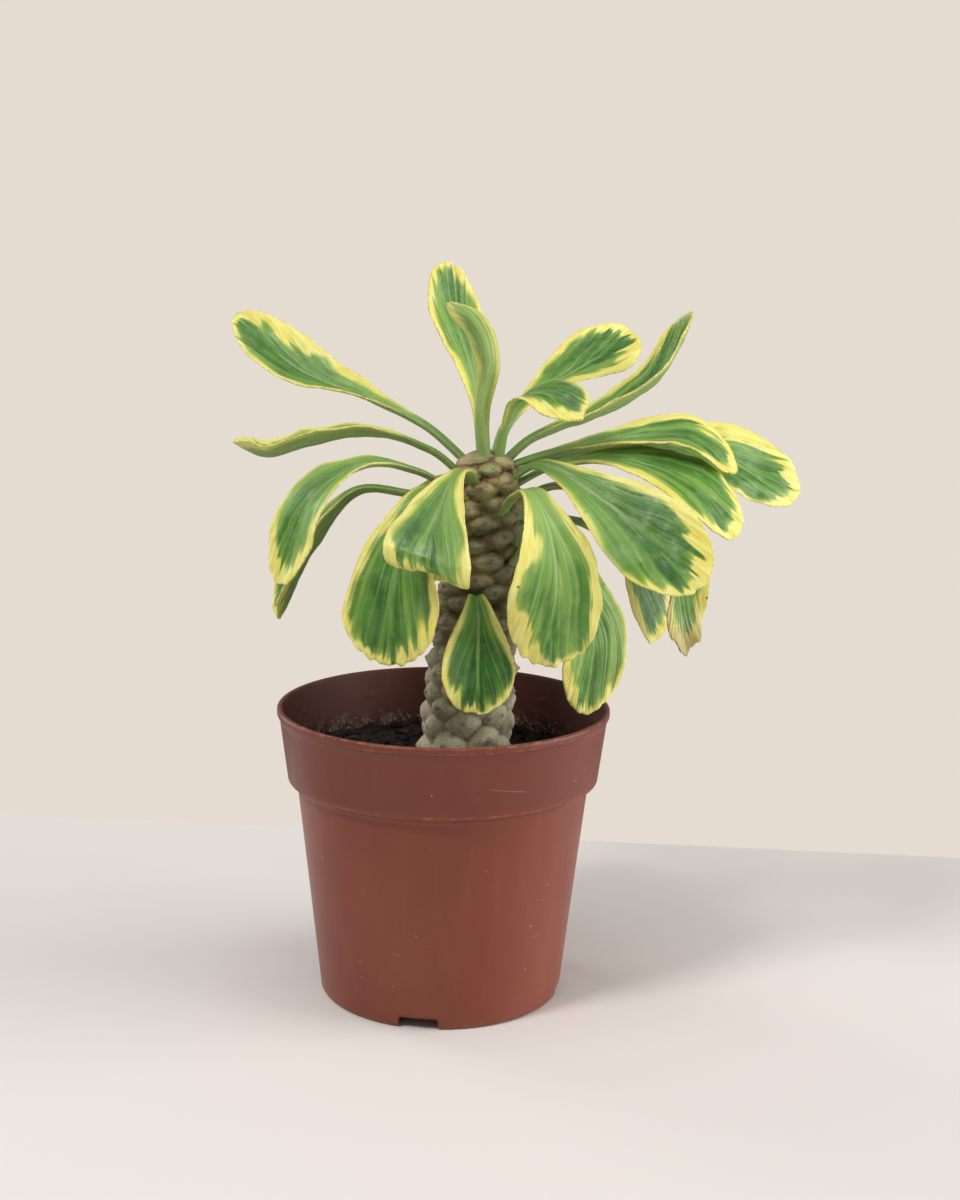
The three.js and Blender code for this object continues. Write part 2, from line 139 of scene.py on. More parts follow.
LEAVES = {
    # leaf_01's tone of 0 is partly painted shade, for the shadow that the leaves above cast on
    # it.
    "leaf_01": Leaf(269, 58, 29, 0.1, [(8, 0, 4), (17, 1, -3), (24, 1, -18), (27, 1, -36)],
                    (0, 0), (30, 15), (2.0, 1.6, 3.2), 0.6, 0.0),
    "leaf_02": Leaf(335, 46, 29, 0.25, [(12, 0, 14), (26, 0, 10), (36, 0, -18), (35, -3, -52)],
                    (0, 45), (20, 10), (4.2, 0.8, 3.8), 0.8, 1.0),
    "leaf_03": Leaf(128, 42, 30, 0.25, [(14, 0, 5), (32, 0, 2), (46, 0, -18), (50, 0, -44)],
                    (0, 0), (20, 10), (3.5, 2.6, 4.5), 1.0, 0.45),
    "leaf_04": Leaf(14, 31, 27, 0.3, [(16, 0, 4), (36, 0, -2), (53, 0, -22), (62, 0, -47)],
                    (0, 60), (25, 15), (4.8, 2.5, 5.0), 0.8, 0.2),
    "leaf_05": Leaf(72, 28, 30, 0.25, [(14, 0, 6), (34, 0, 2), (50, 0, -18), (56, 0, -46)],
                    (0, 0), (20, 10), (2.8, 3.6, 4.5), 1.0, 0.4),
    "leaf_06": Leaf(228, 22, 36, 0.15, [(12, 0, 8), (26, 0, 6), (37, 0, -18), (41, 0, -54)],
                    (0, -35), (20, 5), (2.6, 4.0, 5.0), 0.8, 0.25, lobes=1.7, blunt=3.0),
    "leaf_07": Leaf(306, 24, 35, 0.15, [(10, 0, 9), (24, -2, 10), (39, -4, -14), (38, -7, -50)],
                    (0, 38), (10, 5), (5.4, 3.4, 4.6), 0.8, 1.0, lobes=1.7, blunt=3.0),
    "leaf_08": Leaf(175, 21, 25, 0.3, [(18, 0, 3), (38, 0, 3), (54, 0, -17), (69, 0, -47)],
                    (0, -20), (45, 45), (1.6, 1.6, 3.0), 0.6, 0.5),
    "leaf_09": Leaf(4, 22, 26, 0.35, [(18, 0, 8), (42, 0, 1), (63, 0, -20), (70, 0, -57)],
                    (0, 60), (35, 30), (4.2, 3.4, 6.0), 1.3, 0.9, dry=1.0, lobes=-1, torn=3.2),
    "leaf_10": Leaf(108, 20, 32, 0.2, [(15, 0, 6), (34, 0, 2), (52, 0, -13), (62, 0, -37)],
                    (0, 0), (20, 5), (3.2, 3.8, 5.0), 1.0, 0.4),
    "leaf_11": Leaf(205, 17, 25, 0.25, [(18, 0, 10), (40, 0, 13), (61, 0, 0), (72, 0, -30)],
                    (-5, -22), (30, 10), (0.9, 2.4, 4.4), 0.7, 0.6),
    "leaf_12": Leaf(348, 14, 31, 0.15, [(17, 0, 9), (42, 0, 12), (68, 0, 4), (86, 0, -15)],
                    (8, 32), (15, 5), (2.6, 1.0, 4.0), 0.6, 0.5),
    "leaf_13": Leaf(246, 12, 35, 0.1, [(10, 0, 6), (28, 2, 3), (46, 4, -12), (58, 6, -29)],
                    (0, 0), (20, 8), (2.4, 2.6, 5.4), 0.5, 0.5, blunt=9, full=0.9, power=1.5,
                    folded_from=0.86, skew=5),
    "leaf_14": Leaf(326, 12, 36, 0.12, [(15, 0, 8), (40, 0, -2), (63, 0, -16), (84, 0, -30)],
                    (25, 55), (15, 5), (1.4, 4.4, 4.2), 0.6, 0.2),
    "leaf_15": Leaf(180, 9, 22, 0.2,
                    [(12, 0, 9), (34, 0, 15), (56, 0, 11), (72, 0, 6), (85, 0, 11)],
                    (0, 0), (30, 35), (2.4, 1.2, 2.5), 0.4, 0.7),
    "leaf_16": Leaf(14, 10, 34, 0.35, [(20, 0, 7), (55, 0, 12), (90, 0, 5), (121, 0, -9)],
                    (0, 60), (20, 5), (2.4, 5.6, 2.4), 0.7, 0.7, pucker=1.0),
    "leaf_17": Leaf(155, 5, 28, 0.22, [(18, 0, 13), (44, 0, 23), (71, 0, 31), (101, 0, 52)],
                    (0, -38), (40, 15), (4.6, 1.6, 2.2), 0.5, 0.5),
    "leaf_18": Leaf(0, 6, 28, 0.15, [(15, 0, 5), (42, 0, 11), (68, 0, 12), (86, 0, -2)],
                    (10, 25), (15, 10), (1.6, 3.6, 3.2), 0.6, 0.55),
    "leaf_19": Leaf(31, 5, 21, 0.1, [(14, 0, 9), (44, 0, 17), (72, 0, 30), (89, 0, 56)],
                    (0, 5), (50, 45), (0.9, 1.6, 1.6), 0.4, 0.5),
    "leaf_20": Leaf(262, 2, 12, 0.1, [(3, -1, 18), (5, 1, 36), (6, -4, 50), (4, -14, 57)],
                    (0, 0), (40, 30), (2.2, 1.8, 2.4), 0.3, 1.0),
    "leaf_21": Leaf(320, 2, 23, 0.2, [(3, 0, 12), (9, 0, 22), (22, 0, 25), (38, 0, 18)],
                    (0, 30), (20, 5), (3.4, 1.2, 2.4), 0.6, 0.4),
    "leaf_22": Leaf(51, 2, 29, 0.15, [(7, 0, 11), (27, 0, 22), (56, 0, 31), (92, 0, 43)],
                    (0, 32), (20, 10), (4.6, 2.0, 4.4), 0.6, 0.35),
    "leaf_23": Leaf(116, 1, 23, 0.12, [(8, -2, 17), (20, -3, 36), (28, 0, 54), (33, 1, 71)],
                    (0, 0), (25, 10), (2.0, 3.0, 1.8), 0.4, 0.6),
}

# ---- Small maths ------------------------------------------------------------------------


def smooth(low, high, value):
    share = np.clip((np.asarray(value, float) - low) / (high - low), 0, 1)
    return share * share * (3 - 2 * share)


def mix(low, high, share):
    return low + (high - low) * share


def unit(vectors):
    return vectors / np.linalg.norm(vectors, axis=-1, keepdims=True)


def noise_at(points, seed=0.0, octaves=2):
    """Smooth noise from about -1 to 1 at each row of points."""
    flat = np.asarray(points, float).reshape(-1, 3)
    values = [noise.fractal(Vector(row) + Vector((seed, -seed, 2 * seed)), 1.0, 2.0, octaves)
              for row in flat]
    return np.array(values).reshape(np.shape(points)[:-1])


def flat_noise(x, y, seed, octaves):
    return noise_at(np.stack([x, y, np.zeros_like(x)], axis=-1), seed, octaves)


def through(points, count):
    """A smooth curve through points, as count evenly spaced places, and its length."""
    points = np.asarray(points, float)
    ends = np.vstack([2 * points[0] - points[1], points, 2 * points[-1] - points[-2]])
    pieces = []
    share = np.linspace(0, 1, 60, endpoint=False)[:, None]
    for index in range(len(points) - 1):
        before, here, there, after = ends[index:index + 4]
        start = (there - before) / 2
        end = (after - here) / 2
        pieces.append((2 * here - 2 * there + start + end) * share ** 3
                      + (3 * there - 3 * here - 2 * start - end) * share ** 2
                      + start * share + here)
    fine = np.vstack(pieces + [points[-1:]])
    run = np.concatenate([[0], np.cumsum(np.linalg.norm(np.diff(fine, axis=0), axis=1))])
    wanted = np.linspace(0, run[-1], count)
    places = np.stack([np.interp(wanted, run, fine[:, axis]) for axis in range(3)], axis=1)
    return places, run[-1]


# ---- Meshes -----------------------------------------------------------------------------


def place_mm(points):
    """Millimetres from the pot's axis to metres in the frame."""
    return (np.asarray(points, float) + np.array([AXIS_X, AXIS_Y, 0])) * MM


def make_piece(name, points, faces, node, material):
    mesh = bpy.data.meshes.new(name)
    mesh.from_pydata(place_mm(points).tolist(), [], faces)
    mesh.polygons.foreach_set("use_smooth", [True] * len(mesh.polygons))
    mesh.update()
    piece = bpy.data.objects.new(name, mesh)
    bpy.context.scene.collection.objects.link(piece)
    mesh.materials.append(material)
    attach(piece, "root")
    if node:
        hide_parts(node)
    return piece


def per_vertex(grid, *ends):
    """The values of a grid in the order of its vertices, then those of its caps' centres."""
    return np.concatenate([np.ravel(grid), ends])


def add_attribute(piece, name, *columns):
    """Up to three numbers for each vertex, which the material reads by name."""
    values = np.zeros((len(piece.data.vertices), 3))
    for index, column in enumerate(columns):
        values[:, index] = column
    data = piece.data.attributes.new(name, "FLOAT_VECTOR", "POINT")
    data.data.foreach_set("vector", values.reshape(-1))


def ring_faces(rings, sides, first=0):
    """Quads between closed rings of equal length."""
    faces = []
    for ring in range(rings - 1):
        low = first + ring * sides
        for side in range(sides):
            after = (side + 1) % sides
            faces.append((low + side, low + after, low + sides + after, low + sides + side))
    return faces


def fan_cap(first, sides, centre, flip=False):
    faces = []
    for side in range(sides):
        after = (side + 1) % sides
        face = (centre, first + after, first + side)
        faces.append(face[::-1] if flip else face)
    return faces


# ---- Shader shorthand -------------------------------------------------------------------


class Shader:
    """Builds one procedural material with short calls."""

    def __init__(self, name):
        self.material = bpy.data.materials.new(name)
        self.material.use_nodes = True
        self.tree = self.material.node_tree
        self.surface = self.tree.nodes["Principled BSDF"]

    def node(self, kind, **inputs):
        made = self.tree.nodes.new(kind)
        for key, value in inputs.items():
            self.feed(made.inputs[key.replace("_", " ")], value)
        return made

    def feed(self, socket, value):
        if isinstance(value, bpy.types.NodeSocket):
            self.tree.links.new(value, socket)
        else:
            socket.default_value = value

    def math(self, operation, *values):
        made = self.tree.nodes.new("ShaderNodeMath")
        made.operation = operation
        for socket, value in zip(made.inputs, values):
            self.feed(socket, value)
        return made.outputs[0]

    def plus(self, first, second):
        return self.math("ADD", first, second)

    def minus(self, first, second):
        return self.math("SUBTRACT", first, second)

    def times(self, first, second):
        return self.math("MULTIPLY", first, second)

    def mad(self, first, second, third):
        """first * second + third."""
        return self.math("MULTIPLY_ADD", first, second, third)

    def most(self, first, *others):
        for other in others:
            first = self.math("MAXIMUM", first, other)
        return first

    def step(self, value, low, high):
        """Smoothly 0 at low and 1 at high, which may be less than low."""
        made = self.node("ShaderNodeMapRange", Value=value, From_Min=low, From_Max=high)
        made.interpolation_type = "SMOOTHSTEP"
        return made.outputs[0]

    def ridge(self, value, middle, width):
        """Smoothly 1 at middle and 0 from half the width away."""
        return self.step(self.math("ABSOLUTE", self.minus(value, middle)), width / 2, 0.0)

    def blend(self, share, first, second):
        """Mixes two colours, each a node's output or three numbers as seen on a screen."""
        made = self.tree.nodes.new("ShaderNodeMix")
        made.data_type = "RGBA"
        self.feed(made.inputs[0], share)
        self.feed(made.inputs[6], tint(*first) if isinstance(first, tuple) else first)
        self.feed(made.inputs[7], tint(*second) if isinstance(second, tuple) else second)
        return made.outputs[2]

    def over(self, colour, coat, share, strength=None):
        """Lays a coat over a colour, where share is 1, as thickly as strength says."""
        if strength is not None:
            share = self.times(share, strength)
        return self.blend(share, colour, coat)

    def split(self, vector):
        made = self.node("ShaderNodeSeparateXYZ", Vector=vector)
        return tuple(made.outputs)

    def attribute(self, name):
        made = self.tree.nodes.new("ShaderNodeAttribute")
        made.attribute_name = name
        return self.split(made.outputs["Vector"])

    def vector(self, x, y, z):
        return self.node("ShaderNodeCombineXYZ", X=x, Y=y, Z=z).outputs[0]

    def noise(self, vector, scale, detail=3.0, roughness=0.5):
        made = self.node("ShaderNodeTexNoise", Vector=vector, Scale=scale, Detail=detail,
                         Roughness=roughness)
        return made.outputs["Fac"]

    def cells(self, vector, scale, feature="F1"):
        made = self.node("ShaderNodeTexVoronoi", Vector=vector, Scale=scale)
        made.feature = feature
        return made.outputs["Distance"]

    def place(self):
        return self.tree.nodes.new("ShaderNodeTexCoord").outputs["Object"]

    def bump(self, height, distance, strength=1.0, under=None):
        made = self.node("ShaderNodeBump", Height=height, Distance=distance,
                         Strength=strength)
        if under is not None:
            self.feed(made.inputs["Normal"], under)
        return made.outputs[0]

    def finish(self, colour, roughness, normal=None, **fixed):
        self.feed(self.surface.inputs["Base Color"], colour)
        self.feed(self.surface.inputs["Roughness"], roughness)
        if normal is not None:
            self.feed(self.surface.inputs["Normal"], normal)
        for key, value in fixed.items():
            self.surface.inputs[key.replace("_", " ")].default_value = value
        return self.material


def tint(red, green, blue):
    """A colour given as seen on a screen, 0 to 255, as linear light."""
    channels = []
    for value in (red, green, blue):
        share = value / 255
        linear = share / 12.92 if share <= 0.04045 else ((share + 0.055) / 1.055) ** 2.4
        channels.append(linear)
    return (*channels, 1.0)


# ---- Materials --------------------------------------------------------------------------


def leaf_material():
    s = Shader("variegated_leaf")
    fan, along, edge = s.attribute("leaf_place")
    across, margin, under = s.attribute("leaf_side")
    seed, dry, tone = s.attribute("leaf_kind")

    # Veins leave the midrib at a sharp angle, so `line` is the same all along one vein.
    line, phase, _ = s.attribute("leaf_veins")
    out = s.math("ABSOLUTE", fan)
    sided = s.mad(s.step(fan, -0.15, 0.15), 2.2, seed)

    def along_veins(fineness, reach, detail=2.0, roughness=0.5, shift=0.0):
        where = s.vector(s.times(line, fineness), s.times(out, reach), s.plus(sided, shift))
        return s.noise(where, 1.0, detail, roughness)

    streaks = along_veins(11, 2.4, 3.0)
    bands = along_veins(5.5, 1.6, 2.0, 0.5, 20)
    soft = along_veins(2.6, 1.3, 2.0, 0.5, 40)
    patches = s.noise(s.vector(s.times(along, 9), s.times(fan, 3.0), sided), 1.0, 4.0, 0.6)
    patches = s.mad(patches, 0.55, s.times(along_veins(6, 3.4, 2.0, 0.5, 90), 0.45))

    # At tone 0 these greens are darkened partly as painted shade, for leaf_01 in the shadow of
    # the leaves above.
    deep = s.blend(tone, (24, 78, 10), (64, 120, 34))
    mid = s.blend(tone, (52, 114, 18), (112, 162, 60))
    fresh = s.blend(tone, (104, 158, 42), (168, 200, 106))
    older = s.mad(along, -0.16, s.plus(patches, 0.1))
    green = s.over(deep, mid, s.step(older, 0.38, 0.56))
    green = s.over(green, fresh, s.step(soft, 0.46, 0.7), 0.7)
    green = s.over(green, fresh, s.step(streaks, 0.45, 0.7), 0.16)
    green = s.over(green, deep, s.step(bands, 0.54, 0.36), 0.4)
    green = s.over(green, fresh, s.step(along, 0.75, 0.3), 0.4)

    # Lateral veins and midrib, paler than the blade.
    vein = s.step(s.math("ABSOLUTE", s.minus(s.math("FRACT", phase), 0.5)), 0.33, 0.5)
    vein = s.times(vein, s.step(edge, 0.8, 5.0))
    side_mm = s.math("ABSOLUTE", across)
    rib = s.times(s.step(side_mm, 1.1, 0.2), s.step(along, 0.9, 0.5))
    clear = s.mad(s.step(along, 0.95, 0.4), 0.35, 0.25)
    clear = s.times(clear, s.step(bands, 0.3, 0.6))
    clear = s.times(clear, s.mad(tone, 0.35, 0.45))
    pale_lines = s.most(s.times(vein, clear), s.times(rib, 0.42))
    green = s.over(green, (186, 208, 140), pale_lines)

    # The stalk is an even pale green.
    green = s.over(green, (112, 152, 70), s.step(along, 0.4, 0.12), 0.6)

    # Variegation: yellow margins whose inner border breaks into streaks along the veins.
    ragged = s.times(s.minus(streaks, 0.5), 3.0)
    ragged = s.mad(s.minus(bands, 0.5), 8.0, ragged)
    ragged = s.mad(s.minus(patches, 0.5), 6.0, ragged)
    frayed = s.mad(s.step(along, 0.55, 1.0), 0.24, 0.1)
    ragged = s.times(ragged, s.mad(margin, frayed, 0.12))
    tongues = s.math("COSINE", s.times(phase, 2 * math.pi))
    tongues = s.times(tongues, s.times(s.step(along, 0.6, 0.95), -0.3))
    tongues = s.times(tongues, s.step(soft, 0.3, 0.6))
    ragged = s.mad(margin, tongues, ragged)
    reach = s.minus(s.plus(margin, ragged), edge)
    lime = s.times(s.step(reach, -4.4, 0.4), s.step(soft, 0.34, 0.58))
    lime = s.times(lime, s.step(margin, 0.0, 1.0))
    yellow = s.times(s.step(reach, -1.1, 1.2), s.step(margin, 0.15, 0.7))
    gold = s.blend(s.step(patches, 0.38, 0.66), (246, 238, 132), (234, 218, 90))
    gold = s.over(gold, (250, 244, 172), s.step(streaks, 0.5, 0.75), 0.6)
    gold = s.over(gold, (190, 202, 98), s.step(bands, 0.54, 0.68), 0.45)
    colour = s.over(green, (150, 182, 70), lime, 0.8)
    colour = s.over(colour, gold, yellow)

    # Underside: duller and greyer. The very edge is thin and a little dried.
    colour = s.over(colour, (158, 178, 102), under, 0.42)
    grain = s.noise(s.vector(s.times(along, 60), s.times(fan, 14), seed), 1.0, 3.0)
    rim = s.times(s.step(edge, 0.6, 0.05), s.step(grain, 0.44, 0.6))
    colour = s.over(colour, (150, 128, 76), rim, 0.45)

    # Dust-like bloom that is partly painted sheen, a few dark specks, and drying on a withered
    # leaf.
    place = s.place()
    bloom_and_sheen = s.noise(place, 260.0, 4.0, 0.65)
    colour = s.over(colour, (220, 230, 206), s.step(bloom_and_sheen, 0.48, 0.75), 0.09)
    speck = s.step(s.cells(place, 170.0), 0.11, 0.07)
    speck = s.times(speck, s.step(s.noise(place, 34.0, 2.0), 0.56, 0.64))
    colour = s.over(colour, (66, 50, 30), speck, 0.8)
    dry_edge = s.step(s.plus(fan, streaks), 0.0, -0.3)
    dry_tip = s.step(s.mad(streaks, 0.3, along), 1.02, 1.14)
    dried = s.times(s.most(dry_edge, dry_tip), dry)
    husk = s.blend(s.step(streaks, 0.4, 0.62), (122, 92, 62), (204, 188, 140))
    colour = s.over(colour, husk, dried, 0.85)

    # Fine wrinkles run along the veins; the veins themselves lie in shallow grooves.
    wrinkles = along_veins(40, 8, 4.0, 0.65, 60)
    blisters = along_veins(11, 6, 3.0, 0.6, 80)
    relief = s.bump(blisters, 0.0016, 0.35)
    relief = s.bump(wrinkles, 0.0007, 0.5, relief)
    relief = s.bump(vein, 0.0005, 0.35, relief)
    relief = s.bump(bloom_and_sheen, 0.0002, 0.5, relief)
    gloss = s.mad(wrinkles, 0.2, 0.24)
    gloss = s.mad(under, 0.16, gloss)
    gloss = s.mad(dried, 0.3, gloss)
    return s.finish(colour, gloss, relief, Coat_Weight=0.12, Coat_Roughness=0.2)


def stem_material():
    s = Shader("corky_stem")
    rise, lift, scar = s.attribute("stem_place")
    chance, fresh, _ = s.attribute("stem_kind")
    place = s.place()
    blotch = s.noise(place, 150.0, 4.0, 0.62)
    fine = s.noise(place, 1100.0, 4.0, 0.65)
    cork = s.blend(s.step(blotch, 0.35, 0.68), (198, 188, 154), (226, 217, 190))
    brown = s.blend(s.step(blotch, 0.35, 0.7), (74, 68, 36), (124, 116, 68))
    crown = s.blend(s.step(blotch, 0.4, 0.65), (152, 122, 84), (176, 164, 108))
    uneven = s.mad(s.minus(blotch, 0.5), 0.3, rise)
    colour = s.over(cork, brown, s.step(uneven, 0.2, 0.46))
    colour = s.over(colour, crown, s.step(uneven, 0.78, 0.94))
    green = s.blend(s.step(blotch, 0.4, 0.6), (112, 134, 62), (146, 146, 86))
    colour = s.over(colour, green, s.times(fresh, s.step(lift, 0.2, 0.7)))
    colour = s.over(colour, (158, 124, 88), chance, 0.25)

    # Knobs are paler on their raised tops; the creases between them get painted shade, dark and
    # brown.
    colour = s.over(colour, (204, 196, 168), s.step(lift, 0.5, 0.9), 0.25)
    crease_shade = s.step(s.mad(s.minus(blotch, 0.5), 0.5, lift), 0.45, 0.02)
    shaded = s.mad(s.step(uneven, 0.15, 0.45), 0.2, 0.54)
    colour = s.over(colour, (54, 42, 26), s.times(crease_shade, shaded))
    eye = s.step(s.mad(fine, 0.3, scar), 0.36, 0.2)
    colour = s.over(colour, (92, 66, 44), eye, 0.55)
    stain = s.step(s.noise(place, 330.0, 3.0, 0.6), 0.56, 0.66)
    colour = s.over(colour, (96, 72, 46), stain, 0.35)
    flecks = s.step(s.noise(place, 1500.0, 2.0), 0.66, 0.72)
    colour = s.over(colour, (58, 48, 36), flecks, 0.45)
    chalk = s.step(s.noise(place, 700.0, 3.0, 0.6), 0.66, 0.72)
    colour = s.over(colour, (220, 212, 190), chalk, 0.5)
    cracks = s.cells(place, 520.0, "DISTANCE_TO_EDGE")
    relief = s.bump(fine, 0.0007, 0.6)
    relief = s.bump(s.step(cracks, 0.0, 0.12), 0.0003, 0.4, relief)
    return s.finish(colour, s.mad(fine, 0.25, 0.6), relief)


def soil_material():
    s = Shader("potting_soil")
    place = s.place()
    lumps = s.noise(place, 420.0, 5.0, 0.7)
    fibres = s.cells(place, 900.0)
    colour = s.blend(s.step(lumps, 0.35, 0.7), (13, 10, 9), (40, 30, 24))
    colour = s.over(colour, (70, 56, 44), s.step(fibres, 0.55, 0.8), 0.4)
    relief = s.bump(lumps, 0.0012, 0.9)
    relief = s.bump(fibres, 0.0005, 0.6, relief)
    return s.finish(colour, s.mad(lumps, 0.15, 0.78), relief, Specular_IOR_Level=0.25)


def crumb_material():
    s = Shader("soil_crumbs")
    place = s.place()
    kind = s.noise(place, 160.0, 1.0)
    grain = s.noise(place, 1400.0, 4.0, 0.7)
    colour = s.blend(s.step(kind, 0.5, 0.68), (19, 14, 12), (66, 48, 35))
    colour = s.over(colour, (96, 78, 60), s.step(grain, 0.55, 0.75), 0.5)
    return s.finish(colour, s.mad(grain, 0.2, 0.72), s.bump(grain, 0.0006, 0.8),
                    Specular_IOR_Level=0.25)


def pot_material():
    s = Shader("moulded_brown_plastic")
    place = s.place()
    inside, height, _ = s.attribute("pot_place")
    cloudy = s.noise(place, 16.0, 2.0, 0.5)
    speckle = s.noise(place, 1900.0, 2.0, 0.6)
    x, y, z = s.split(place)
    upright = s.vector(s.times(x, 160), s.times(y, 160), s.times(z, 9))
    flow = s.noise(upright, 1.0, 3.0)
    colour = s.blend(s.step(cloudy, 0.3, 0.7), (122, 57, 40), (131, 65, 46))
    colour = s.over(colour, (160, 98, 82), s.step(flow, 0.45, 0.75), 0.09)
    colour = s.over(colour, (96, 54, 44), s.step(speckle, 0.55, 0.75), 0.14)

    # The thicker band under the rim is darkened with painted shade, for the shadow that the
    # foliage above casts on it.
    band = s.step(height, BAND_BOTTOM - 1.5, BAND_BOTTOM + 3)
    colour = s.over(colour, (92, 42, 28), band, 0.45)

    # Rubbing on the lip, the step and the foot, and thin scratches.
    lip = s.step(height, POT_HEIGHT - 1.2, POT_HEIGHT - 0.1)
    lip_low = s.ridge(height, POT_HEIGHT - LIP_HEIGHT + 0.6, 1.2)
    step_edge = s.ridge(height, BAND_BOTTOM + 0.4, 1.3)
    foot = s.step(height, 3.0, 0.3)
    edges = s.most(lip, foot, lip_low, step_edge)
    rubbed = s.step(s.noise(place, 300.0, 4.0, 0.7), 0.46, 0.66)
    worn = s.times(edges, rubbed)
    colour = s.over(colour, (190, 134, 114), worn, 0.32)
    slant = s.vector(s.mad(x, 42, s.times(z, 60)), s.times(y, 42),
                     s.mad(z, 700, s.times(x, 130)))
    scratch = s.step(s.noise(slant, 1.0, 2.0, 0.5), 0.7, 0.74)
    scratch = s.times(scratch, s.step(s.noise(place, 34.0, 2.0), 0.5, 0.62))
    colour = s.over(colour, (186, 136, 118), scratch, 0.3)

    # Specks of dust and grit stuck to the outside.
    grit = s.step(s.cells(place, 190.0), 0.1, 0.045)
    grit = s.times(grit, s.step(s.noise(place, 70.0, 2.0), 0.56, 0.6))
    colour = s.over(colour, (206, 160, 138), grit, 0.75)
    dark_grit = s.step(s.cells(place, 131.0), 0.07, 0.03)
    dark_grit = s.times(dark_grit, s.step(s.noise(place, 55.0, 2.0), 0.56, 0.62))
    colour = s.over(colour, (60, 34, 26), dark_grit, 0.7)

    # Inside, the plastic is darkened with painted shade, with soil and lime left above the soil
    # line.
    colour = s.over(colour, (62, 40, 38), inside, 0.5)
    tide = s.step(s.mad(cloudy, 14.0, height), SOIL_TOP + 13, SOIL_TOP + 5)
    tide = s.times(tide, inside)
    smear = s.times(tide, s.step(s.noise(place, 330.0, 5.0, 0.75), 0.44, 0.56))
    colour = s.over(colour, (34, 25, 22), smear, 0.85)
    dusty = s.times(s.step(s.noise(place, 150.0, 5.0, 0.7), 0.48, 0.62), tide)
    colour = s.over(colour, (126, 104, 92), dusty, 0.72)
    chalk = s.times(s.step(s.noise(place, 620.0, 3.0, 0.7), 0.57, 0.64), tide)
    colour = s.over(colour, (170, 146, 130), chalk, 0.8)

    ripple = s.noise(upright, 0.35, 2.0)
    relief = s.bump(ripple, 0.0008, 0.25)
    relief = s.bump(speckle, 0.00006, 0.5, relief)
    relief = s.bump(s.most(scratch, grit, smear), 0.0003, 0.6, relief)
    gloss = s.mad(speckle, 0.12, 0.32)
    gloss = s.mad(s.most(smear, worn), 0.3, gloss)
    gloss = s.mad(inside, 0.25, gloss)
    return s.finish(colour, gloss, relief, Specular_IOR_Level=0.4)


# ---- Pot --------------------------------------------------------------------------------

BAND_BOTTOM = POT_HEIGHT - LIP_HEIGHT - RIM_BAND_HEIGHT
BAND_TOP_RADIUS = RIM_RADIUS - LIP_PROUD
BAND_BOTTOM_RADIUS = BAND_TOP_RADIUS - RIM_BAND_LEAN
BODY_TOP = BAND_BOTTOM - RIM_STEP_HEIGHT
BODY_TOP_RADIUS = BAND_BOTTOM_RADIUS - RIM_STEP
FLOOR_TOP = FLOOR_HEIGHT + FLOOR_THICKNESS
POT_SIDES = 288

# The lathe's sides and the drainage cutters are turned a little, so that no edge of a cutter
# runs along an edge of the pot, where the cut would leave flaps with no volume.
LATHE_TURN = 0.37
DRAIN_CUTTER_TURN = 0.05
MARK_COUNT = 10
MARK_FIRST_TURN = 0.21
MARK_BELOW_RIM = 10


def body_radius(height):
    return mix(FOOT_RADIUS, BODY_TOP_RADIUS, height / BODY_TOP)


def inner_radius(height):
    band = mix(BAND_BOTTOM_RADIUS, BAND_TOP_RADIUS,
               (height - BAND_BOTTOM) / (POT_HEIGHT - BAND_BOTTOM))
    shell = mix(body_radius(height), band, smooth(BODY_TOP, BAND_BOTTOM, height))
    return float(shell) - POT_WALL


def arc(centre, radius, start, end, count):
    """Points on an arc in the lathe's section, angles in degrees."""
    turns = np.radians(np.linspace(start, end, count))
    return [(centre[0] + radius * math.cos(turn), centre[1] + radius * math.sin(turn))
            for turn in turns]


def run(start, end, count):
    """Points from start up to, not including, end."""
    return [(mix(start[0], end[0], step / count), mix(start[1], end[1], step / count))
            for step in range(count)]


def pot_profile():
    """The pot's section, as (radius, height), from the foot up the outside and down the
    inside to the floor, and back under it."""
    lip = 0.85
    foot = arc((FOOT_RADIUS - FOOT_ROUND, FOOT_ROUND), FOOT_ROUND, -90, -3, 7)
    body = run(foot[-1], (BODY_TOP_RADIUS - 0.3, BODY_TOP - 1.0), 20)
    step = arc((BODY_TOP_RADIUS - 0.3 + RIM_STEP, BODY_TOP - 1.0), RIM_STEP, 180, 100, 8)
    under = arc((BAND_BOTTOM_RADIUS - 0.8, BAND_BOTTOM + 0.1), 0.8, -60, -5, 5)
    band = run(under[-1], (BAND_TOP_RADIUS, POT_HEIGHT - LIP_HEIGHT - 0.3), 12)
    lip_low = arc((RIM_RADIUS - lip, POT_HEIGHT - LIP_HEIGHT + lip), lip, -80, 0, 5)
    lip_high = arc((RIM_RADIUS - lip, POT_HEIGHT - lip), lip, 0, 90, 7)
    inner_top = (BAND_TOP_RADIUS - POT_WALL, POT_HEIGHT)
    lip_in = arc((inner_top[0] + 0.5, POT_HEIGHT - 0.5), 0.5, 90, 180, 4)
    wall = [(inner_radius(height), height)
            for height in np.arange(POT_HEIGHT - 1.2, FLOOR_TOP + 3, -0.9)]
    corner = arc((inner_radius(FLOOR_TOP) - 3, FLOOR_TOP + 3), 3, 0, -90, 6)
    floor = [(30, FLOOR_TOP), (8, FLOOR_TOP), (8, FLOOR_HEIGHT), (30, FLOOR_HEIGHT)]
    ring = FOOT_RADIUS - FOOT_RING_WIDTH
    foot_in = [(ring - 0.8, FLOOR_HEIGHT), (ring, FLOOR_HEIGHT - 0.8), (ring, 1.0)]
    foot_in += [(ring + 0.5, 0)]
    return foot + body + step + under + band + lip_low + lip_high + lip_in + wall + corner \
        + floor + foot_in


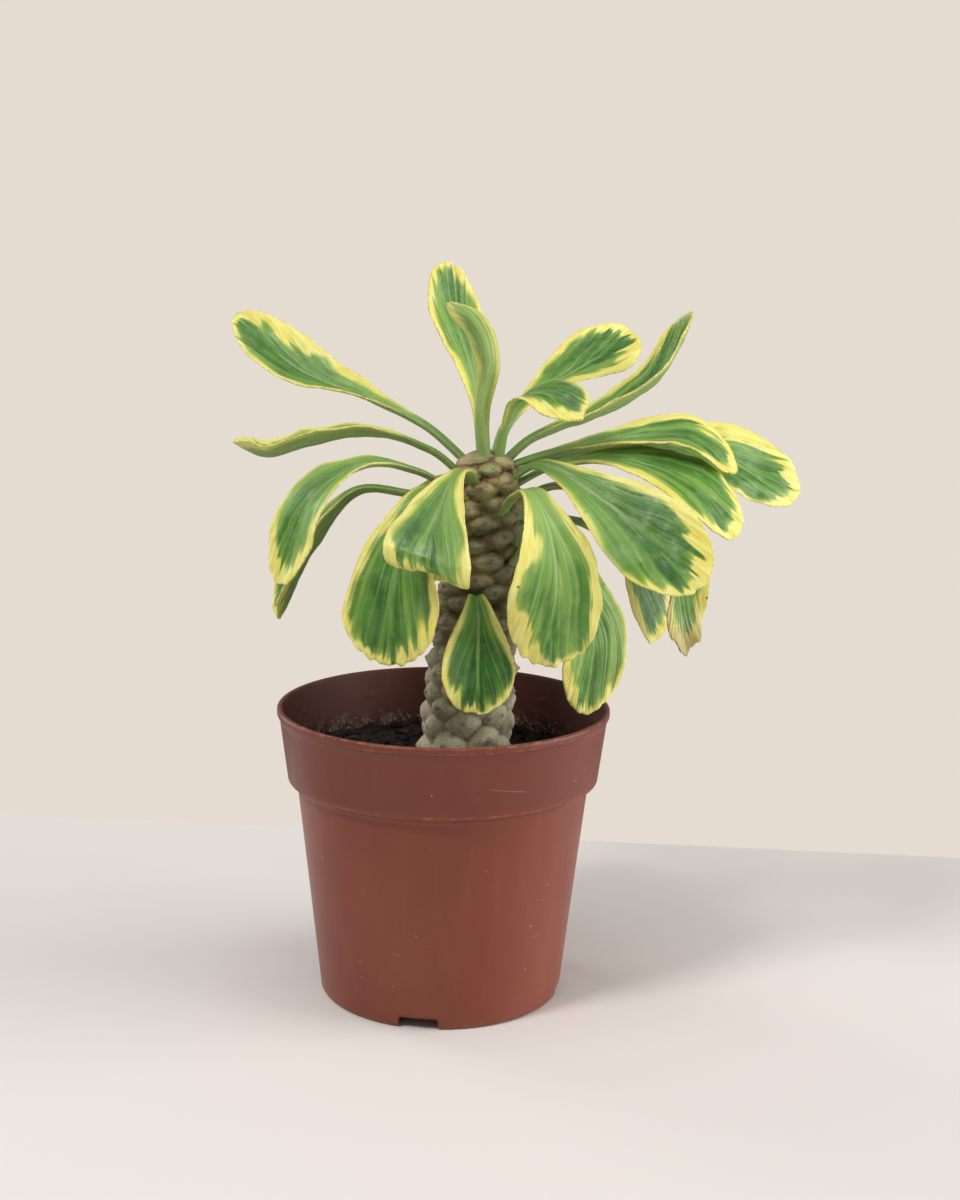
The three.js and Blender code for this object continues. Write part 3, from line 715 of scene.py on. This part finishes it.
def cut_with(piece, cutters):
    """Cuts each closed mesh in cutters out of piece."""
    for cutter in cutters:
        modifier = piece.modifiers.new("cut", "BOOLEAN")
        modifier.operation = "DIFFERENCE"
        modifier.solver = "EXACT"
        modifier.object = cutter
    graph = bpy.context.evaluated_depsgraph_get()
    made = bpy.data.meshes.new_from_object(piece.evaluated_get(graph),
                                           preserve_all_data_layers=True, depsgraph=graph)
    piece.modifiers.clear()
    old = piece.data
    piece.data = made
    bpy.data.meshes.remove(old)
    for cutter in cutters:
        bpy.data.objects.remove(cutter)


def set_cutter(tool, centre, turn, own_turn=0.0):
    """An object from the tool, set at centre and turned in degrees about the pot's axis."""
    place = Matrix.Translation(Vector((AXIS_X, AXIS_Y, 0)) * MM) \
        @ Matrix.Rotation(math.radians(turn), 4, "Z") \
        @ Matrix.Translation(Vector(centre) * MM) @ Matrix.Rotation(own_turn, 4, "Z")
    bmesh.ops.transform(tool, matrix=place, verts=tool.verts)
    mesh = bpy.data.meshes.new("cutter")
    tool.to_mesh(mesh)
    tool.free()
    piece = bpy.data.objects.new("cutter", mesh)
    bpy.context.scene.collection.objects.link(piece)
    return piece


def notch_cutter(turn):
    size = Vector((5 * FOOT_RING_WIDTH, NOTCH_WIDTH, 2 * NOTCH_HEIGHT)) * MM
    tool = bmesh.new()
    bmesh.ops.create_cube(tool, size=1)
    bmesh.ops.scale(tool, vec=size, verts=tool.verts)
    outwards = [edge for edge in tool.edges
                if abs(edge.verts[0].co.x - edge.verts[1].co.x) > size.x / 2]
    bmesh.ops.bevel(tool, geom=outwards, offset=NOTCH_ROUND * MM, segments=4, profile=0.5,
                    affect="EDGES")
    return set_cutter(tool, (FOOT_RADIUS, 0, 0), turn)


def drain_cutter(turn):
    tool = bmesh.new()
    bmesh.ops.create_cone(tool, cap_ends=True, segments=32, radius1=DRAIN_RADIUS * MM,
                          radius2=DRAIN_RADIUS * MM, depth=6 * FLOOR_THICKNESS * MM)
    centre = (DRAIN_CIRCLE_RADIUS, 0, FLOOR_HEIGHT + FLOOR_THICKNESS / 2)
    return set_cutter(tool, centre, turn, DRAIN_CUTTER_TURN)


def wall_sway(turn, height):
    """A thin moulding is never quite round: how far its wall strays."""
    sway = 0.25 * np.sin(2 * turn + 0.7) + 0.12 * np.sin(3 * turn + 2.0)
    return sway * smooth(20, POT_HEIGHT, height)


def make_pot(material):
    profile = np.array(pot_profile())
    rings = len(profile)
    turns = (np.arange(POT_SIDES) + LATHE_TURN) * 2 * math.pi / POT_SIDES
    radius, turn = np.meshgrid(profile[:, 0], turns, indexing="ij")
    height = np.repeat(profile[:, 1:], POT_SIDES, axis=1)
    inside = (radius < np.vectorize(inner_radius)(height) + 0.2) & (height > FLOOR_HEIGHT)

    # Small oval mould marks stand out of the inner face below the rim.
    marks = np.zeros_like(radius)
    for index in range(MARK_COUNT):
        middle = index / MARK_COUNT * 2 * math.pi + MARK_FIRST_TURN
        away = np.arctan2(np.sin(turn - middle), np.cos(turn - middle)) * radius
        above = height - POT_HEIGHT + MARK_BELOW_RIM
        marks += np.exp(-(away / 2.0) ** 2 - (above / 0.8) ** 2)
    radius = radius - np.where(inside, 0.4 * marks, 0)

    radius = radius + wall_sway(turn, height) * (height > FLOOR_TOP)
    points = np.stack([radius * np.cos(turn), radius * np.sin(turn), height], axis=-1)
    faces = ring_faces(rings, POT_SIDES)
    last = (rings - 1) * POT_SIDES
    for side in range(POT_SIDES):
        after = (side + 1) % POT_SIDES
        faces.append((last + side, last + after, after, side))
    pot = make_piece("pot_shell", points.reshape(-1, 3), faces, "pot", material)
    cut_with(pot, [notch_cutter(NOTCH_FIRST_ANGLE + index * 360 / NOTCH_COUNT)
                   for index in range(NOTCH_COUNT)]
             + [drain_cutter((index + 0.5) * 360 / DRAIN_COUNT)
                for index in range(DRAIN_COUNT)])
    add_attribute(pot, "pot_place", *pot_places(pot))


def pot_places(pot):
    """For each vertex: 1 on the inner face and 0 outside, and the height in millimetres."""
    places = np.empty(len(pot.data.vertices) * 3)
    pot.data.vertices.foreach_get("co", places)
    x, y, height = (places.reshape(-1, 3) / MM - np.array([AXIS_X, AXIS_Y, 0])).T
    turn = np.arctan2(y, x)
    inner = np.vectorize(inner_radius)(height) + wall_sway(turn, height)
    near_lip = smooth(POT_HEIGHT - 1, POT_HEIGHT, height)
    inside = (np.hypot(x, y) < inner + mix(0.15, 0.9, near_lip)) & (height > FLOOR_HEIGHT + 0.1)
    return inside.astype(float), height


# ---- Stem -------------------------------------------------------------------------------

STEM_SIDES = 210
ROOT_RINGS = 16
MAIN_RINGS = 344
CROWN_RINGS = 40
FINE_BELOW_SOIL = 8
CROWN_COVERED = 0.985
BURIED_KNOBS = 14


def stem_centre(height):
    return STEM_BASE_X + STEM_LEAN * (np.asarray(height, float) - SOIL_TOP) / STEM_HEIGHT


def stem_radius(height):
    height = np.asarray(height, float)
    root = mix(ROOT_TIP_RADIUS, STEM_BASE_RADIUS,
               np.sqrt(np.clip((height - ROOT_BOTTOM) / (SOIL_TOP - ROOT_BOTTOM), 0, 1)))
    share = (height - SOIL_TOP) / STEM_HEIGHT
    low = mix(STEM_BASE_RADIUS, STEM_MID_RADIUS, share * 2)
    high = mix(STEM_MID_RADIUS, STEM_TOP_RADIUS, share * 2 - 1)
    plain = np.where(share < 0.5, low, high)
    into = np.clip((height - (STEM_TOP - CROWN_HEIGHT)) / CROWN_HEIGHT, 0, 1)
    return np.where(height <= SOIL_TOP, root, plain * np.sqrt(1 - into ** 2))


def knobs():
    """Angle, height, size and chance of each knob up the stem, a little uneven, and
    whether it is still green: a few near the top of the front are."""
    dice = random.Random(11)
    found = []
    count = int(STEM_HEIGHT / KNOB_RISE)
    for index in range(-BURIED_KNOBS, count + 1):
        height = SOIL_TOP + index * KNOB_RISE + dice.uniform(-0.7, 0.7)
        turn = math.radians(index * KNOB_TURN) + dice.uniform(-0.06, 0.06)
        share = max(0.0, index / count)
        size = KNOB_RADIUS * mix(1.12, 0.86, share) * dice.uniform(0.92, 1.1)
        toward_front = math.cos(turn - math.radians(FRESH_KNOBS_AT))
        fresh = 1.0 if toward_front > 0.75 and height > STEM_TOP - FRESH_KNOBS_DOWN else 0.0
        found.append((turn, height, size * mix(1, 0.66, fresh), dice.random(), fresh))
    return found


def make_stem(material):
    crown_from = STEM_TOP - CROWN_HEIGHT
    root = np.linspace(ROOT_BOTTOM, SOIL_TOP - FINE_BELOW_SOIL, ROOT_RINGS, endpoint=False)
    main = np.linspace(SOIL_TOP - FINE_BELOW_SOIL, crown_from, MAIN_RINGS, endpoint=False)
    crown = np.linspace(0, math.pi / 2 * CROWN_COVERED, CROWN_RINGS)
    crown = crown_from + CROWN_HEIGHT * np.sin(crown)
    heights = np.concatenate([root, main, crown])
    turns = np.linspace(-math.pi, math.pi, STEM_SIDES, endpoint=False)
    height, turn = np.meshgrid(heights, turns, indexing="ij")
    radius = stem_radius(height)
    rise = (height - SOIL_TOP) / STEM_HEIGHT

    # Each place takes its lift and marks from the knob that stands out furthest there.
    lift, chance_of, fresh_of = np.zeros((3, *height.shape))
    scar_of = np.ones(height.shape)
    for knob_turn, knob_height, size, chance, fresh in knobs():
        rows = np.abs(heights - knob_height) < size * 1.2
        around = np.arctan2(np.sin(turn[rows] - knob_turn), np.cos(turn[rows] - knob_turn))
        across = np.maximum(radius[rows], 3) * around
        up = height[rows] - knob_height
        flat = smooth(0.2, 0.42, (knob_height - SOIL_TOP) / STEM_HEIGHT)
        wide = size * mix(1.06, 1.25, flat)
        high = size * mix(0.94, 0.74, flat)
        share = ((np.abs(across) / wide) ** KNOB_SQUARENESS
                 + (np.abs(up) / high) ** KNOB_SQUARENESS) ** (1 / KNOB_SQUARENESS)
        warped = share + 0.1 * np.sin(3 * around + 5 * chance) * np.cos(up * 0.5 + 9 * chance)
        dome = np.clip(1 - warped ** 2, 0, 1)
        tall = KNOB_HEIGHT * mix(0.82, 1.08, chance)
        scar = np.hypot(across / size, (up - 0.2 * size) / size)
        spur = 0.9 * smooth(0.35, 0.8, chance) * np.exp(-(scar / 0.11) ** 2)
        here = tall * dome * (1 + mix(0.35, 0.6, flat) * np.clip(up / size, -1, 1)) + spur
        better = here > lift[rows]
        for field, value in ((lift, here), (chance_of, chance), (fresh_of, fresh),
                             (scar_of, scar)):
            field[rows] = np.where(better, value, field[rows])

    fade = 1 - 0.55 * smooth(crown_from, STEM_TOP, height)
    fade = fade * smooth(SOIL_TOP - 22, SOIL_TOP - 4, height)
    surface = np.stack([radius * np.cos(turn), radius * np.sin(turn), height], axis=-1)
    rough = noise_at(surface / 2.6, 3.0, 3) * 0.22 + noise_at(surface / 9, 8.0, 2) * 0.5
    streaky = noise_at(surface * np.array([0.16, 0.16, 0.55]), 12.0, 3)
    rough = rough + smooth(0.15, 0.45, rise) * 0.7 * streaky
    full = radius + lift * fade + rough * smooth(0, 4, radius)
    points = np.stack([stem_centre(height) + full * np.cos(turn), full * np.sin(turn),
                       height], axis=-1).reshape(-1, 3)
    ends = [[float(stem_centre(end)), 0, end] for end in (STEM_TOP, ROOT_BOTTOM)]
    faces = ring_faces(len(heights), STEM_SIDES)
    faces += fan_cap(len(points) - STEM_SIDES, STEM_SIDES, len(points), flip=True)
    faces += fan_cap(0, STEM_SIDES, len(points) + 1)
    stem = make_piece("stem_with_knobs", np.vstack([points, ends]), faces, "stem",
                      material)
    add_attribute(stem, "stem_place", per_vertex(rise, 1, -0.3),
                  per_vertex(lift / KNOB_HEIGHT, 0.6, 0), per_vertex(scar_of, 1, 1))
    add_attribute(stem, "stem_kind", per_vertex(chance_of, 0.5, 0),
                  per_vertex(fresh_of, 0, 0))


# ---- Soil -------------------------------------------------------------------------------

SOIL_SIDES = 200
SOIL_GAP = 0.3
CRUMB_COUNT = 900


def soil_height(x, y):
    """The uneven surface of the soil, heaped round the stem and lower at the wall."""
    heap = 1.2 * (1 - smooth(14, 40, np.hypot(x - STEM_BASE_X, y)))
    heap = heap - 1.8 * smooth(44, 60, np.hypot(x, y))
    return SOIL_TOP - 0.6 + heap + 1.3 * flat_noise(x / 9, y / 9, 1.0, 3) \
        + 0.55 * flat_noise(x / 2.4, y / 2.4, 5.0, 3)


def make_soil(material):
    turns = np.linspace(0, 2 * math.pi, SOIL_SIDES, endpoint=False)
    circle = np.stack([np.cos(turns), np.sin(turns)], axis=-1)
    stem_hole = STEM_BASE_RADIUS * 0.93

    def ring(radii, height, centre_x=0.0):
        flat = circle * np.reshape(radii, (-1, 1)) + np.array([centre_x, 0])
        return np.column_stack([flat, np.broadcast_to(height, (SOIL_SIDES,))])

    rings = [ring(inner_radius(FLOOR_TOP) - 3, FLOOR_TOP + SOIL_GAP)]
    side_heights = np.concatenate([np.linspace(FLOOR_TOP + 3, BODY_TOP - 1, 12),
                                   np.linspace(BODY_TOP, SOIL_TOP - 3, 12)])
    for height in side_heights:
        rings.append(ring(inner_radius(height) - SOIL_GAP + wall_sway(turns, height), height))
    outer = circle * (inner_radius(SOIL_TOP) - SOIL_GAP + wall_sway(turns, SOIL_TOP))[:, None]
    inner = circle * stem_hole + np.array([STEM_BASE_X, 0])
    for share in np.linspace(0, 1, 52):
        flat = mix(outer, inner, share)
        rings.append(np.column_stack([flat, soil_height(flat[:, 0], flat[:, 1])]))
    for share in np.linspace(0.12, 1, 8):
        height = mix(SOIL_TOP, ROOT_BOTTOM - SOIL_GAP, share)
        radius = float(stem_radius(height)) * 0.9 if share < 1 else ROOT_TIP_RADIUS + SOIL_GAP
        rings.append(ring(radius, height, float(stem_centre(height))))
    points = np.vstack(rings)
    faces = ring_faces(len(rings), SOIL_SIDES)
    ends = [[0, 0, FLOOR_TOP + SOIL_GAP],
            [float(stem_centre(ROOT_BOTTOM)), 0, ROOT_BOTTOM - SOIL_GAP]]
    faces += fan_cap(0, SOIL_SIDES, len(points))
    faces += fan_cap((len(rings) - 1) * SOIL_SIDES, SOIL_SIDES, len(points) + 1, flip=True)
    make_piece("soil_block", np.vstack([points, ends]), faces, "soil", material)


def lump(dice, size):
    """A small rough crumb as vertices and faces."""
    made = bmesh.new()
    bmesh.ops.create_icosphere(made, subdivisions=2, radius=1.0)
    stretch = Vector((dice.uniform(0.7, 1.4), dice.uniform(0.6, 1.1), dice.uniform(0.45, 0.9)))
    seed = dice.uniform(0, 90)
    turn = Matrix.Rotation(dice.uniform(0, 6.28), 3, "Z") \
        @ Matrix.Rotation(dice.uniform(0, 6.28), 3, "X")
    points = []
    for vertex in made.verts:
        bumpy = 1 + 0.45 * noise.noise(vertex.co * 1.7 + Vector((seed, 0, 0)))
        grown = vertex.co * bumpy
        shaped = Vector((grown.x * stretch.x, grown.y * stretch.y, grown.z * stretch.z))
        points.append(tuple((turn @ shaped) * size))
    faces = [[vertex.index for vertex in face.verts] for face in made.faces]
    made.free()
    return points, faces


def make_crumbs(material):
    """Loose crumbs of peat and bark all over the soil, partly sunk in it."""
    dice = random.Random(29)
    points = []
    faces = []
    for _ in range(CRUMB_COUNT):
        turn = dice.uniform(0, 2 * math.pi)
        reach = math.sqrt(dice.uniform(0.08, 0.95)) * (inner_radius(SOIL_TOP) - 1.5)
        x = reach * math.cos(turn)
        y = reach * math.sin(turn)
        if math.hypot(x - STEM_BASE_X, y) < STEM_BASE_RADIUS + 1.5:
            continue
        size = dice.choice((0.4, 0.5, 0.7, 0.9, 1.2, 1.7)) * dice.uniform(0.7, 1.2)
        height = float(soil_height(np.array([x]), np.array([y]))[0]) + size * 0.25
        shape, sides = lump(dice, size)
        first = len(points)
        points += [(px + x, py + y, pz + height) for px, py, pz in shape]
        faces += [[first + index for index in side] for side in sides]
    make_piece("soil_crumbs", points, faces, None, material)


# ---- Leaves -----------------------------------------------------------------------------

MIDRIB_POINTS = 600
LEAF_STATIONS = 132
LEAF_SIDES = 64
VEIN_COUNT = 3.2
VEIN_SLANT = 1.05
FOLD_RADIUS = 3.6
LEAF_SEED_STEP = 7.31


def plain_half_width(leaf, along):
    spread = smooth(leaf.start, leaf.full, along)
    spread = spread ** leaf.power
    return mix(STALK_HALF_WIDTH, leaf.width / 2, spread)


def tip_rounding(leaf, along):
    into = np.clip((along - BLADE_ROUND_FROM) / (1 - BLADE_ROUND_FROM), 0, 1)
    return np.sqrt(np.clip(1 - into ** leaf.blunt, 0, 1))


def midrib(leaf, count):
    turn = math.radians(leaf.around)
    outwards = np.array([math.cos(turn), math.sin(turn), 0])
    sideways = np.array([-math.sin(turn), math.cos(turn), 0])
    height = STEM_TOP - leaf.below
    start = np.array([float(stem_centre(height)), 0, height])
    start = start + outwards * float(stem_radius(height))
    points = [start + outwards * out + sideways * side + np.array([0, 0, up])
              for out, side, up in leaf.path]
    inwards = unit(start - points[0])
    places, length = through([start + inwards * LEAF_ROOT_DEPTH, start, *points], count)
    return places, length, sideways


def outline_distance(x, y, outline):
    """How far each place on the flattened blade is from its outline."""
    flat = np.stack([x.ravel(), y.ravel()], axis=-1)
    nearest = np.full(len(flat), 1e9)
    for start, end in zip(outline[:-1], outline[1:]):
        run_way = end - start
        share = np.clip(((flat - start) @ run_way) / max(run_way @ run_way, 1e-9), 0, 1)
        away = np.hypot(*(flat - start - share[:, None] * run_way).T)
        nearest = np.minimum(nearest, away)
    return nearest.reshape(x.shape)


def fold_under(leaf, along, length, centre, tangent, normal):
    """Bends the tip of a blade round a small radius until it lies under the rest."""
    first = int(np.argmax(along > leaf.folded_from))
    turn = ((along[first:] - along[first]) * length / FOLD_RADIUS)[:, None]
    ahead, up = tangent[first].copy(), normal[first].copy()
    centre, tangent, normal = centre.copy(), tangent.copy(), normal.copy()
    centre[first:] = centre[first] + FOLD_RADIUS * (ahead * np.sin(turn)
                                                    - up * (1 - np.cos(turn)))
    tangent[first:] = ahead * np.cos(turn) - up * np.sin(turn)
    normal[first:] = up * np.cos(turn) + ahead * np.sin(turn)
    return centre, tangent, normal


def leaf_frame(leaf, along):
    """The midrib's length, and at each station its place and four directions: ahead along
    it, ahead as it would be with the tip not folded, across the blade and up from it."""
    fine, length, sideways = midrib(leaf, MIDRIB_POINTS)

    def at_stations(rows):
        index = along * (len(fine) - 1)
        return np.stack([np.interp(index, np.arange(len(fine)), rows[:, axis])
                         for axis in range(3)], axis=-1)

    centre = at_stations(fine)
    ahead = unit(at_stations(unit(np.gradient(fine, axis=0))))
    level = unit(sideways - ahead * (ahead @ sideways)[:, None])
    upright = np.cross(ahead, level)
    roll = np.radians(mix(*leaf.roll, smooth(0, 1, along)))[:, None]
    cross = level * np.cos(roll) + upright * np.sin(roll)
    normal = np.cross(ahead, cross)
    unfolded = ahead
    if leaf.folded_from:
        centre, ahead, normal = fold_under(leaf, along, length, centre, ahead, normal)
    return length, *(rows[:, None] for rows in (centre, ahead, unfolded, cross, normal))


def make_leaf(name, leaf, material):
    seed = int(name[-2:]) * LEAF_SEED_STEP
    step = np.linspace(0, 1, LEAF_STATIONS)
    stations = 0.45 * step + 0.55 * np.sin(math.pi / 2 * step)
    length, centre, ahead, unfolded, cross, normal = leaf_frame(leaf, stations)
    turns = np.linspace(0, 2 * math.pi, LEAF_SIDES, endpoint=False)
    along, turn = np.meshgrid(stations, turns, indexing="ij")
    share = np.cos(turn)
    side = np.sign(share)
    fold = np.radians(mix(*leaf.fold, along))
    blade = smooth(leaf.start / 2, leaf.start + THINNING_RUN, along)

    # Outline: irregular, with scallops that grow towards the tip.
    uneven = flat_noise(along * length / 12, side * 3.0, seed, 2)
    plain = plain_half_width(leaf, along)
    half = plain * tip_rounding(leaf, along) * (1 + 0.06 * uneven * blade)
    half = np.maximum(half, TIP_HALF_WIDTH)
    x_mm = share * half
    fan = x_mm / plain
    notches = flat_noise(x_mm / 5.0, np.zeros_like(share), seed + 40, 1)
    near_tip = smooth(0.84, 1.0, along)
    drift = flat_noise(along * 3, fan * 1.3, seed + 33, 2)
    vein_line = along - VEIN_SLANT * np.abs(fan) + 0.13 * drift
    vein_phase = VEIN_COUNT * vein_line + seed
    bulge = np.abs(np.sin(math.pi * vein_phase))
    scallops = (1.9 * np.abs(notches) ** 0.6 - 0.7) * near_tip * leaf.torn
    scallops = scallops + leaf.lobes * (bulge - 0.6) * smooth(0.8, 1.0, along)

    # Ripples of the margin, swellings between the veins, the midrib's channel and its keel.
    ripple = flat_noise(along * length / 13, side * 5.0, seed + 9, 2)
    ripple = leaf.wave * 2.1 * ripple * np.abs(share) ** 2.0 * smooth(0.3, 0.75, along)
    ripple = ripple + leaf.wave * 1.3 * notches * near_tip
    pucker = flat_noise(x_mm / 6, along * length / 13, seed + 21, 3) * leaf.pucker * blade
    swell = (np.sqrt(bulge) - 0.7) * 0.42 * blade * np.clip(half / 10, 0, 1) \
        * smooth(0.06, 0.3, np.abs(share)) * smooth(1.0, 0.75, np.abs(share))
    sag = 0.5 * leaf.wave * np.sin(along * 9 + seed) * smooth(0.4, 0.9, along)
    rib_fade = 1 - smooth(0.55, 0.95, along)
    channel = -0.5 * np.exp(-(x_mm / 0.9) ** 2) * rib_fade * blade
    keel = -0.8 * np.exp(-(x_mm / 1.3) ** 2) * rib_fade * blade

    upper = np.sin(turn) >= 0
    thick = mix(STALK_THICKNESS, BLADE_THICKNESS, blade)
    thick = thick * mix(0.62, 1.0, np.clip(half / 8, 0, 1))
    round_power = mix(1.0, 0.5, blade)
    skin_height = np.sign(np.sin(turn)) * np.abs(np.sin(turn)) ** round_power * thick / 2
    skin_height = skin_height + np.where(upper, channel, keel)
    bend = np.hypot(share, FOLD_SOFTNESS)
    lift = (bend - FOLD_SOFTNESS) * np.sin(fold) * half + ripple + pucker + swell + sag
    skew = leaf.skew * share * smooth(0.3, 0.9, along)

    def column(values):
        return values[..., None]

    skin = unit(normal * column(np.cos(fold)) - cross * column(np.sin(fold) * share / bend))
    points = centre + cross * column(x_mm * np.cos(fold)) + normal * column(lift) \
        + skin * column(skin_height) + ahead * column(scallops) + unfolded * column(skew)
    count = LEAF_STATIONS * LEAF_SIDES
    ends = [points[0].mean(axis=0), points[-1].mean(axis=0)]
    faces = ring_faces(LEAF_STATIONS, LEAF_SIDES)
    faces += fan_cap(0, LEAF_SIDES, count)
    faces += fan_cap(count - LEAF_SIDES, LEAF_SIDES, count + 1, flip=True)
    piece = make_piece(name + "_blade", np.vstack([points.reshape(-1, 3), ends]), faces, name,
                       material)

    # What the material reads: places on the blade, and how far the yellow reaches in.
    y_mm = along * length + scallops
    outline = np.vstack([np.column_stack([x_mm[:, 0], y_mm[:, 0]]),
                         np.column_stack([x_mm[::-1, LEAF_SIDES // 2],
                                          y_mm[::-1, LEAF_SIDES // 2]])])
    edge = outline_distance(x_mm, y_mm, outline)
    minus_side, plus_side, tip = leaf.margin
    patchy = flat_noise(along * length / 17, side * 9.0, seed + 60, 2)
    yellow = mix(minus_side, plus_side, smooth(-0.35, 0.35, share)) \
        * smooth(leaf.start - 0.05, leaf.start + 0.45, along)
    yellow = mix(yellow, np.maximum(tip, yellow), smooth(0.74, 0.98, along))
    yellow = yellow * np.clip(1 + 0.9 * patchy, 0.35, 1.8)
    under = np.where(upper, 0.0, 1.0)
    for attribute, grids in (("leaf_place", (fan, along, edge)),
                             ("leaf_side", (x_mm, yellow, under)),
                             ("leaf_veins", (vein_line, vein_phase))):
        add_attribute(piece, attribute, *(per_vertex(grid, grid[0, 0], grid[-1, -1])
                                          for grid in grids))
    add_attribute(piece, "leaf_kind", seed, leaf.dry, leaf.tone)


# ---- Stage ------------------------------------------------------------------------------

TABLE_BACK_EDGE = ((-0.2274, 0.2136), (0.2541, 0.1586))
TABLE_REACH = 0.95
TABLE_TONE = (228, 222, 217)
TABLE_SHADE = (220, 214, 208)
WALL_TONE = (229, 220, 209)


def make_stage():
    """A pale table whose back edge stands in front of a plain wall, far away."""
    s = Shader("pale_table")
    soft = s.noise(s.place(), 3.0, 2.0)
    shade = s.over(TABLE_TONE, TABLE_SHADE, soft, 0.05)
    table_look = s.finish(shade, 0.6, Specular_IOR_Level=0.2)
    left = Vector((*TABLE_BACK_EDGE[0], 0))
    right = Vector((*TABLE_BACK_EDGE[1], 0))
    along = (right - left).normalized() * TABLE_REACH
    axis = Vector((AXIS_X, AXIS_Y, 0)) * MM
    corners = [(-TABLE_REACH, -TABLE_REACH, 0), (TABLE_REACH, -TABLE_REACH, 0),
               right + along + axis, left - along + axis]
    mesh = bpy.data.meshes.new("table_top")
    mesh.from_pydata([tuple(corner) for corner in corners], [], [(0, 1, 2, 3)])
    mesh.materials.append(table_look)
    table = bpy.data.objects.new("table_top", mesh)
    bpy.context.scene.collection.objects.link(table)


def make_world():
    """The wall's flat tone behind everything, and a weaker even light from all round."""
    world = bpy.data.worlds.new("studio")
    world.use_nodes = True
    tree = world.node_tree
    seen = tree.nodes["Background"]
    seen.inputs["Color"].default_value = tint(*WALL_TONE)
    lighting = tree.nodes.new("ShaderNodeBackground")
    lighting.inputs["Color"].default_value = (1.0, 0.99, 0.98, 1)
    lighting.inputs["Strength"].default_value = 0.3
    rays = tree.nodes.new("ShaderNodeLightPath")
    choose = tree.nodes.new("ShaderNodeMixShader")
    tree.links.new(rays.outputs["Is Camera Ray"], choose.inputs[0])
    tree.links.new(lighting.outputs[0], choose.inputs[1])
    tree.links.new(seen.outputs[0], choose.inputs[2])
    tree.links.new(choose.outputs[0], tree.nodes["World Output"].inputs[0])
    bpy.context.scene.world = world


def area_light(name, place, size, power, colour=(1, 1, 1)):
    """A soft box, as wide and high as size says, that looks at the plant."""
    lamp = bpy.data.lights.new(name, "AREA")
    lamp.shape = "RECTANGLE"
    lamp.size, lamp.size_y = size
    lamp.energy = power
    lamp.color = colour
    holder = bpy.data.objects.new(name, lamp)
    holder.location = place
    away = Vector((0, 0, 0.15)) - Vector(place)
    holder.rotation_euler = away.to_track_quat("-Z", "Y").to_euler()
    bpy.context.scene.collection.objects.link(holder)


def make_lights():
    warm = (1.0, 0.99, 0.98)
    area_light("key_left", (-0.75, -0.7, 1.25), (0.3, 0.3), 10.5, warm)
    area_light("top", (0.05, -0.3, 1.6), (0.75, 0.75), 5)
    area_light("right", (1.4, -0.2, 0.5), (1.2, 1.1), 20, warm)
    area_light("left_rim", (-1.1, 0.8, 0.5), (0.5, 1.0), 5)


def make_camera():
    """Stands about 0.7 m in front of the pot's axis and looks a little down on it."""
    distance, height = 712.5, 298.2
    yaw, pitch, roll = math.radians(1.096), math.radians(11.177), math.radians(0.912)
    lens = bpy.data.cameras.new("camera")
    lens.lens = 56.07
    lens.sensor_width = 36
    lens.sensor_fit = "AUTO"
    lens.clip_start = 0.01
    camera = bpy.data.objects.new("camera", lens)
    forward = Vector((math.sin(yaw) * math.cos(pitch), math.cos(yaw) * math.cos(pitch),
                      -math.sin(pitch)))
    right = Vector((math.cos(yaw), -math.sin(yaw), 0))
    up = right.cross(forward)
    right_rolled = right * math.cos(roll) + up * math.sin(roll)
    up_rolled = up * math.cos(roll) - right * math.sin(roll)
    turn = Matrix((right_rolled, up_rolled, -forward)).transposed()
    place = Vector((AXIS_X, AXIS_Y - distance, height)) * MM
    camera.matrix_world = Matrix.Translation(place) @ turn.to_4x4()
    bpy.context.scene.collection.objects.link(camera)
    bpy.context.scene.camera = camera


# ---- Build ------------------------------------------------------------------------------

make_camera()
make_stage()
make_world()
make_lights()
bpy.context.scene.view_settings.view_transform = "Standard"
bpy.context.scene.view_settings.look = "None"

make_pot(pot_material())
make_soil(soil_material())
make_crumbs(crumb_material())
make_stem(stem_material())
leaf_look = leaf_material()
for leaf_name, leaf_values in LEAVES.items():
    make_leaf(leaf_name, leaf_values, leaf_look)
